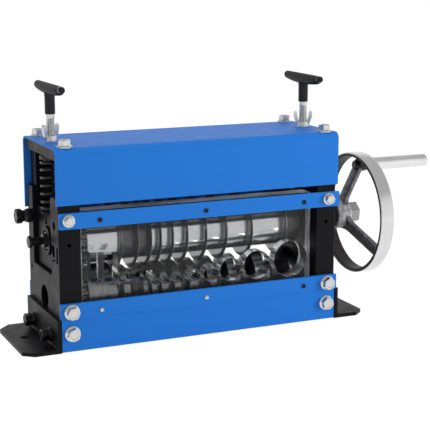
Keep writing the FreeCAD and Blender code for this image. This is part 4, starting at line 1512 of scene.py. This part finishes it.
@dataclass
class Handwheel:
    """Cast wheel with a polished rim, its fittings and the crank grip."""

    hub_left: float = 0.203
    hub_right: float = 0.220
    hub_radius: float = 0.0185
    hub_draft: float = 0.0006
    hub_bore: float = 0.00795
    hub_corners: Pair = (0.0016, 0.0012)
    rim_left: float = 0.229
    rim_right: float = 0.247
    rim_radius: float = 0.0764
    rim_inside: float = 0.0714
    rim_corners: tuple[float, float, float, float] = (0.0014, 0.0012, 0.0014, 0.0014)
    rim_steps: int = 160
    polished_depth: float = 0.0011
    spokes: int = 3
    spoke_width: float = 0.0152
    spoke_depth: float = 0.007
    spoke_edge: float = 0.0019
    spoke_setback: float = 0.003
    spoke_steps: int = 18
    in_hub: float = 0.003
    in_rim: float = 0.0012
    rim_flare: Pair = (0.0026, 0.007)
    hub_flare: Pair = (0.0016, 0.006)
    turn: float = math.radians(7.0)
    crank_radius: float = 0.0624
    lug_left: float = 0.233
    lug_right: float = 0.2426
    lug_radius: float = 0.0082
    lug_bore: float = 0.004
    lug_corners: Pair = (0.0015, 0.0012)
    fine_ease: float = 0.0003
    knob_ease: float = 0.0004
    nut_ease: float = 0.0006

    def spoke(self, shape: bmesh.types.BMesh, angle: float) -> None:
        """Adds one flat spoke, filleted where it meets the hub and the rim.

        Args:
            shape: The casting.
            angle: The spoke's turn from upright, in radians.
        """
        start, finish = self.hub_radius - self.in_hub, self.rim_inside + self.in_rim
        deep = self.spoke_depth / 2
        near, far = self.hub_right - deep, self.rim_right - self.spoke_setback - deep
        (rim_swell, rim_reach), (hub_swell, hub_reach) = self.rim_flare, self.hub_flare
        turned, lifted = Matrix.Rotation(angle, 3, "X"), Vector((0.0, 0.0, BLADE_AXIS_HEIGHT))
        rings = []
        for step in range(self.spoke_steps + 1):
            share = step / self.spoke_steps
            radius = start + (finish - start) * share
            flare = rim_swell * max(0.0, 1 - (finish - radius) / rim_reach) ** 2
            flare += hub_swell * max(0.0, 1 - (radius - self.hub_radius) / hub_reach) ** 2
            centre = near + (far - near) * share
            half = self.spoke_width / 2 + flare
            section = rounded([(across, along, self.spoke_edge) for across, along in (
                (-half, -deep), (half, -deep), (half, deep), (-half, deep))], steps=3)
            rings.append([turned @ Vector((centre + along, across, radius)) + lifted
                          for across, along in section])
        add_loft(shape, rings, Cast.SPOKE.value)

    def wheel(self) -> bpy.types.Object:
        """Builds the casting: hub, three spokes, rim and lug.

        Returns:
            The casting, polished on the outside of its rim.
        """
        shape = bmesh.new()
        centre = (0.0, 0.0, BLADE_AXIS_HEIGHT)
        left, right = self.hub_corners
        hub = rounded((
            (self.hub_left, self.hub_bore, 0.0), (self.hub_left, self.hub_radius - self.hub_draft, left),
            (self.hub_right, self.hub_radius, right), (self.hub_right, self.hub_bore, 0.0)))
        add_lathe(shape, hub, Axis.X, centre, steps=64, slot=Cast.ROUGH.value)
        rim_outline = ((self.rim_left, self.rim_inside), (self.rim_left, self.rim_radius),
                       (self.rim_right, self.rim_radius), (self.rim_right, self.rim_inside))
        rim = rounded([(*place, corner) for place, corner in zip(rim_outline, self.rim_corners)], steps=5)
        for face in add_lathe(shape, rim, Axis.X, centre, self.rim_steps):
            middle = face.calc_center_median()
            radius = math.hypot(middle.y, middle.z - BLADE_AXIS_HEIGHT)
            skin = Cast.POLISHED if radius > self.rim_radius - self.polished_depth else Cast.BAND
            face.material_index = skin.value
        for index in range(self.spokes):
            self.spoke(shape, self.turn + 2 * math.pi * index / self.spokes)
        lug_place = Matrix.Rotation(self.turn, 3, "X") @ Vector((0.0, 0.0, self.crank_radius))
        left, right = self.lug_corners
        lug = rounded((
            (self.lug_left, self.lug_bore, 0.0), (self.lug_left, self.lug_radius, left),
            (self.lug_right, self.lug_radius, right), (self.lug_right, self.lug_bore, 0.0)))
        add_lathe(shape, lug, Axis.X, tuple(lug_place + Vector(centre)), steps=40, slot=Cast.BAND.value)
        return from_bmesh("cast_handwheel", shape)

    def build(self, machine: Machine, finishes: Finishes) -> None:
        """Makes the wheel and dresses its fittings.

        Args:
            machine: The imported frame.
            finishes: All finishes.
        """
        wheel = self.wheel()
        dress(wheel, finishes.cast, finishes.spoke, finishes.band, finishes.rim)
        machine.seat(wheel, "handwheel")
        for node, width, finish in (
                ("wheel_sleeve", self.fine_ease, finishes.black_bolt),
                ("wheel_nut", self.nut_ease, finishes.nut),
                ("crank_bolt", self.fine_ease, finishes.black_bolt),
                ("crank_grip", self.fine_ease, finishes.grip),
                ("shaft_end_screw", self.fine_ease, finishes.black_bolt),
                ("star_knob", self.knob_ease, finishes.knob)):
            machine.eased(node, node + "_eased", width, finish)
        machine.dress_node("wheel_washer", finishes.zinc)


# ---------------------------------------------------------------- pressure screws

@dataclass(frozen=True)
class SpringSize:
    """Sizes of a compression spring, or of the stretch of it from start to stop."""

    coil_radius: float
    wire_radius: float
    bottom: float
    top: float
    turns: float
    start: float
    stop: float
    centre_x: float
    centre_y: float = SCREW_Y


@dataclass(frozen=True)
class RodSize:
    """Sizes of a threaded rod."""

    radius: float
    thread_depth: float
    pitch: float
    bottom: float
    top: float
    thread_end: float
    centre_x: float
    centre_y: float = SCREW_Y


class Tee(Enum):
    """Material slots of a tee handle."""

    BAR = 0
    STEM = 1


@dataclass
class PressureScrews:
    """Springs, seats, threaded rods, tee handles and wing nuts of both sides."""

    spring_bottom: float = 0.150
    spring_top: float = 0.2095
    spring_radius: float = 0.0116
    spring_wire: float = 0.00165
    spring_turns: float = 7.2
    closed_turns: float = 0.85
    lift: float = 0.008
    press: float = 0.006
    rod_radius: float = 0.005
    rod_bottom: float = 0.21105
    rod_top: float = 0.280
    thread_end: float = 0.2555
    thread_depth: float = 0.0007
    pitch: float = 0.0015
    nut_ease: float = 0.0005
    bar_height: float = 0.288
    bar_half: float = 0.049
    bar_radius: float = 0.0063
    bar_thinnest: float = 0.0024
    bar_steps: int = 64
    oval_sides: int = 36
    oval_width: float = 0.98
    oval_power: float = 2.1
    taper: float = 0.30
    seam: float = 0.0085
    cap_share: float = 0.86
    cap_length: float = 0.0045
    cap_power: float = 2.6
    cap_end: float = 0.42
    right_turn: float = math.radians(3.0)
    stem_radius: float = 0.0059
    stem_bottom: float = 0.260
    stem_chamfer: float = 0.0004
    neck_swell: float = 0.0003
    neck_drops: Triple = (0.010, 0.0066, 0.0045)

    def spring_tree(self) -> GrownTree:
        """A compression spring with closed ends, or a stretch of one.

        Returns:
            The tree.
        """
        tree = GrownTree("coil_spring", SpringSize)
        turns, wire = tree.size("turns"), tree.size("wire_radius")
        bottom, coil = tree.size("bottom"), tree.size("coil_radius")
        line = tree.node("GeometryNodeCurvePrimitiveLine")
        fine = tree.node("GeometryNodeResampleCurve", {"Curve": line.outputs[0], "Count": 320})
        share = tree.node("GeometryNodeSplineParameter").outputs["Factor"]
        along = tree.ranged(share, 0.0, 1.0, tree.size("start"), tree.size("stop"))
        closed_height = wire * 2.0 * turns
        end_share = tree.math("DIVIDE", self.closed_turns, turns)
        spread = tree.ranged(along, end_share, 1.0 - end_share)
        open_height = tree.size("top") - bottom - wire * 2.0 - closed_height
        height = along * closed_height + open_height * spread + bottom + wire
        angle = along * turns * (2 * math.pi)
        across = coil * tree.math("COSINE", angle) + tree.size("centre_x")
        depth = coil * tree.math("SINE", angle) + tree.size("centre_y")
        bent = tree.node("GeometryNodeSetPosition", {
            "Geometry": fine.outputs[0], "Position": tree.vector(across, depth, height)})
        ring = tree.node("GeometryNodeCurvePrimitiveCircle", {"Resolution": 14, "Radius": wire})
        tube = tree.node("GeometryNodeCurveToMesh", {
            "Curve": bent.outputs[0], "Profile Curve": ring.outputs[0], "Fill Caps": True})
        return tree.end(tree.smoothed(tube.outputs[0], sharp_from=1.0))

    def rod_tree(self) -> GrownTree:
        """A threaded rod: a cylinder whose skin follows a helix.

        Returns:
            The tree.
        """
        tree = GrownTree("threaded_rod", RodSize)
        radius, pitch = tree.size("radius"), tree.size("pitch")
        length = tree.size("top") - tree.size("bottom")
        rod = tree.node("GeometryNodeMeshCylinder", {
            "Vertices": 30, "Side Segments": tree.math("ROUND", length / pitch * 6.0), "Radius": radius,
            "Depth": length})
        across, along, up = tree.split(tree.node("GeometryNodeInputPosition").outputs[0])
        phase = up / pitch - tree.math("ARCTAN2", along, across) / (2 * math.pi)
        wave = tree.math("PINGPONG", phase, 0.5) * 2.0
        height = up + (tree.size("top") + tree.size("bottom")) / 2.0
        below = tree.size("thread_end") - height
        depth = tree.size("thread_depth") * tree.ranged(wave, 0.12, 0.88) * tree.ranged(below, 0.0, 0.0012)
        shrink = 1.0 - depth / radius
        place = tree.vector(
            across * shrink + tree.size("centre_x"), along * shrink + tree.size("centre_y"), height)
        cut = tree.node("GeometryNodeSetPosition", {"Geometry": rod.outputs["Mesh"], "Position": place})
        return tree.end(tree.smoothed(cut.outputs[0], sharp_from=1.2))

    def bar_radius_at(self, along: float) -> Pair:
        """How thick the tee's bar is at a place.

        Args:
            along: Distance from the bar's middle, negative towards the wire's side.

        Returns:
            Half the bar's own thickness there, and half of what its round end leaves of it.
        """
        swell = self.bar_radius * (1 - self.taper * (along / self.bar_half) ** 2)
        if along < self.seam - self.bar_half:
            swell *= self.cap_share
        inside = max(0.0, self.cap_length - self.bar_half + abs(along)) / self.cap_length
        round_end = math.sqrt(max(0.0, 1 - inside ** self.cap_power))
        return swell, max(self.bar_thinnest, swell * (self.cap_end + (1 - self.cap_end) * round_end))

    def tee(self, name: str, side: Side) -> bpy.types.Object:
        """Builds a tee handle: a bar with a straight back, a full belly and end caps across a stem.

        Args:
            name: The new piece's name.
            side: The end of the machine that it stands on.

        Returns:
            The handle.
        """
        middle = Vector((side.value * SCREW_X, SCREW_Y, 0.0))
        turned = Matrix.Rotation(-self.right_turn if side is Side.RIGHT else 0.0, 3, "Z")
        rings = []
        for step in range(self.bar_steps + 1):
            along = -self.bar_half * math.cos(math.pi * step / self.bar_steps)
            swell, radius = self.bar_radius_at(along)
            centre = self.bar_height + self.bar_radius - swell
            rings.append([turned @ Vector((across, along, centre + up)) + middle for across, up in oval(
                radius * self.oval_width, radius, self.oval_power, self.oval_sides)])
        shape = bmesh.new()
        add_loft(shape, rings)
        for face in shape.faces:
            place = turned.transposed() @ (face.calc_center_median() - middle)
            skin = Tee.STEM if place.y < self.seam - self.bar_half else Tee.BAR
            face.material_index = skin.value
        neck, bulge, top = (self.bar_height - drop for drop in self.neck_drops)
        stem = ((self.stem_bottom, 0.0), (self.stem_bottom, self.stem_radius - self.stem_chamfer),
                (self.stem_bottom + self.stem_chamfer, self.stem_radius), (neck, self.stem_radius),
                (bulge, self.stem_radius + self.neck_swell), (top, self.stem_radius + self.neck_swell),
                (top, 0.0))
        add_lathe(shape, stem, Axis.Z, tuple(middle), steps=48, slot=Tee.STEM.value)
        return from_bmesh(name, shape, sharp_degrees=40.0)

    def build(self, machine: Machine, finishes: Finishes) -> None:
        """Makes both sides' pieces and seats them.

        Each spring is grown in two halves, and each half follows the end that it rests on.

        Args:
            machine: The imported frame.
            finishes: All finishes.
        """
        springs, rods = self.spring_tree(), self.rod_tree()
        for side in Side:
            word, across = side.word, side.value * SCREW_X
            spring = SpringSize(self.spring_radius, self.spring_wire, self.spring_bottom, self.spring_top,
                                self.spring_turns, 0.0, 0.5, across)
            lower = springs.grow(f"{word}_spring_lower", finishes.spring, spring)
            machine.seat(lower, f"{word}_spring")
            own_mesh(lower)
            upper = springs.grow(
                f"{word}_spring_upper", finishes.spring, replace(spring, start=0.5, stop=1.0))
            machine.seat(upper, f"{word}_spring", body=f"{word}_seat")
            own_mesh(upper)
            rod = rods.grow(f"{word}_threaded_rod", finishes.zinc, RodSize(
                self.rod_radius, self.thread_depth, self.pitch, self.rod_bottom, self.rod_top,
                self.thread_end, across))
            machine.seat(rod, f"{word}_pressure_screw")
            tee = self.tee(f"{word}_tee", side)
            dress(tee, finishes.tee_bar, finishes.tee_stem)
            machine.seat(tee, f"{word}_tee_handle")
            machine.eased(f"{word}_wing_nut", f"{word}_wing_nut_eased", self.nut_ease, finishes.zinc)
            machine.dress_node(f"{word}_spring_seat", finishes.spring)


# ---------------------------------------------------------------- assembly


def main() -> None:
    """Builds the studio and every sub-assembly."""
    logging.basicConfig(level=logging.INFO, format="%(name)s: %(message)s")
    machine = Machine()
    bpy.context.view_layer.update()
    Studio().build()
    finishes = Finishes()
    for assembly in (FramePieces(), InletPlate(), Fasteners(), Drums(), Handwheel(), PressureScrews()):
        assembly.build(machine, finishes)


if __name__ == "__main__":
    main()
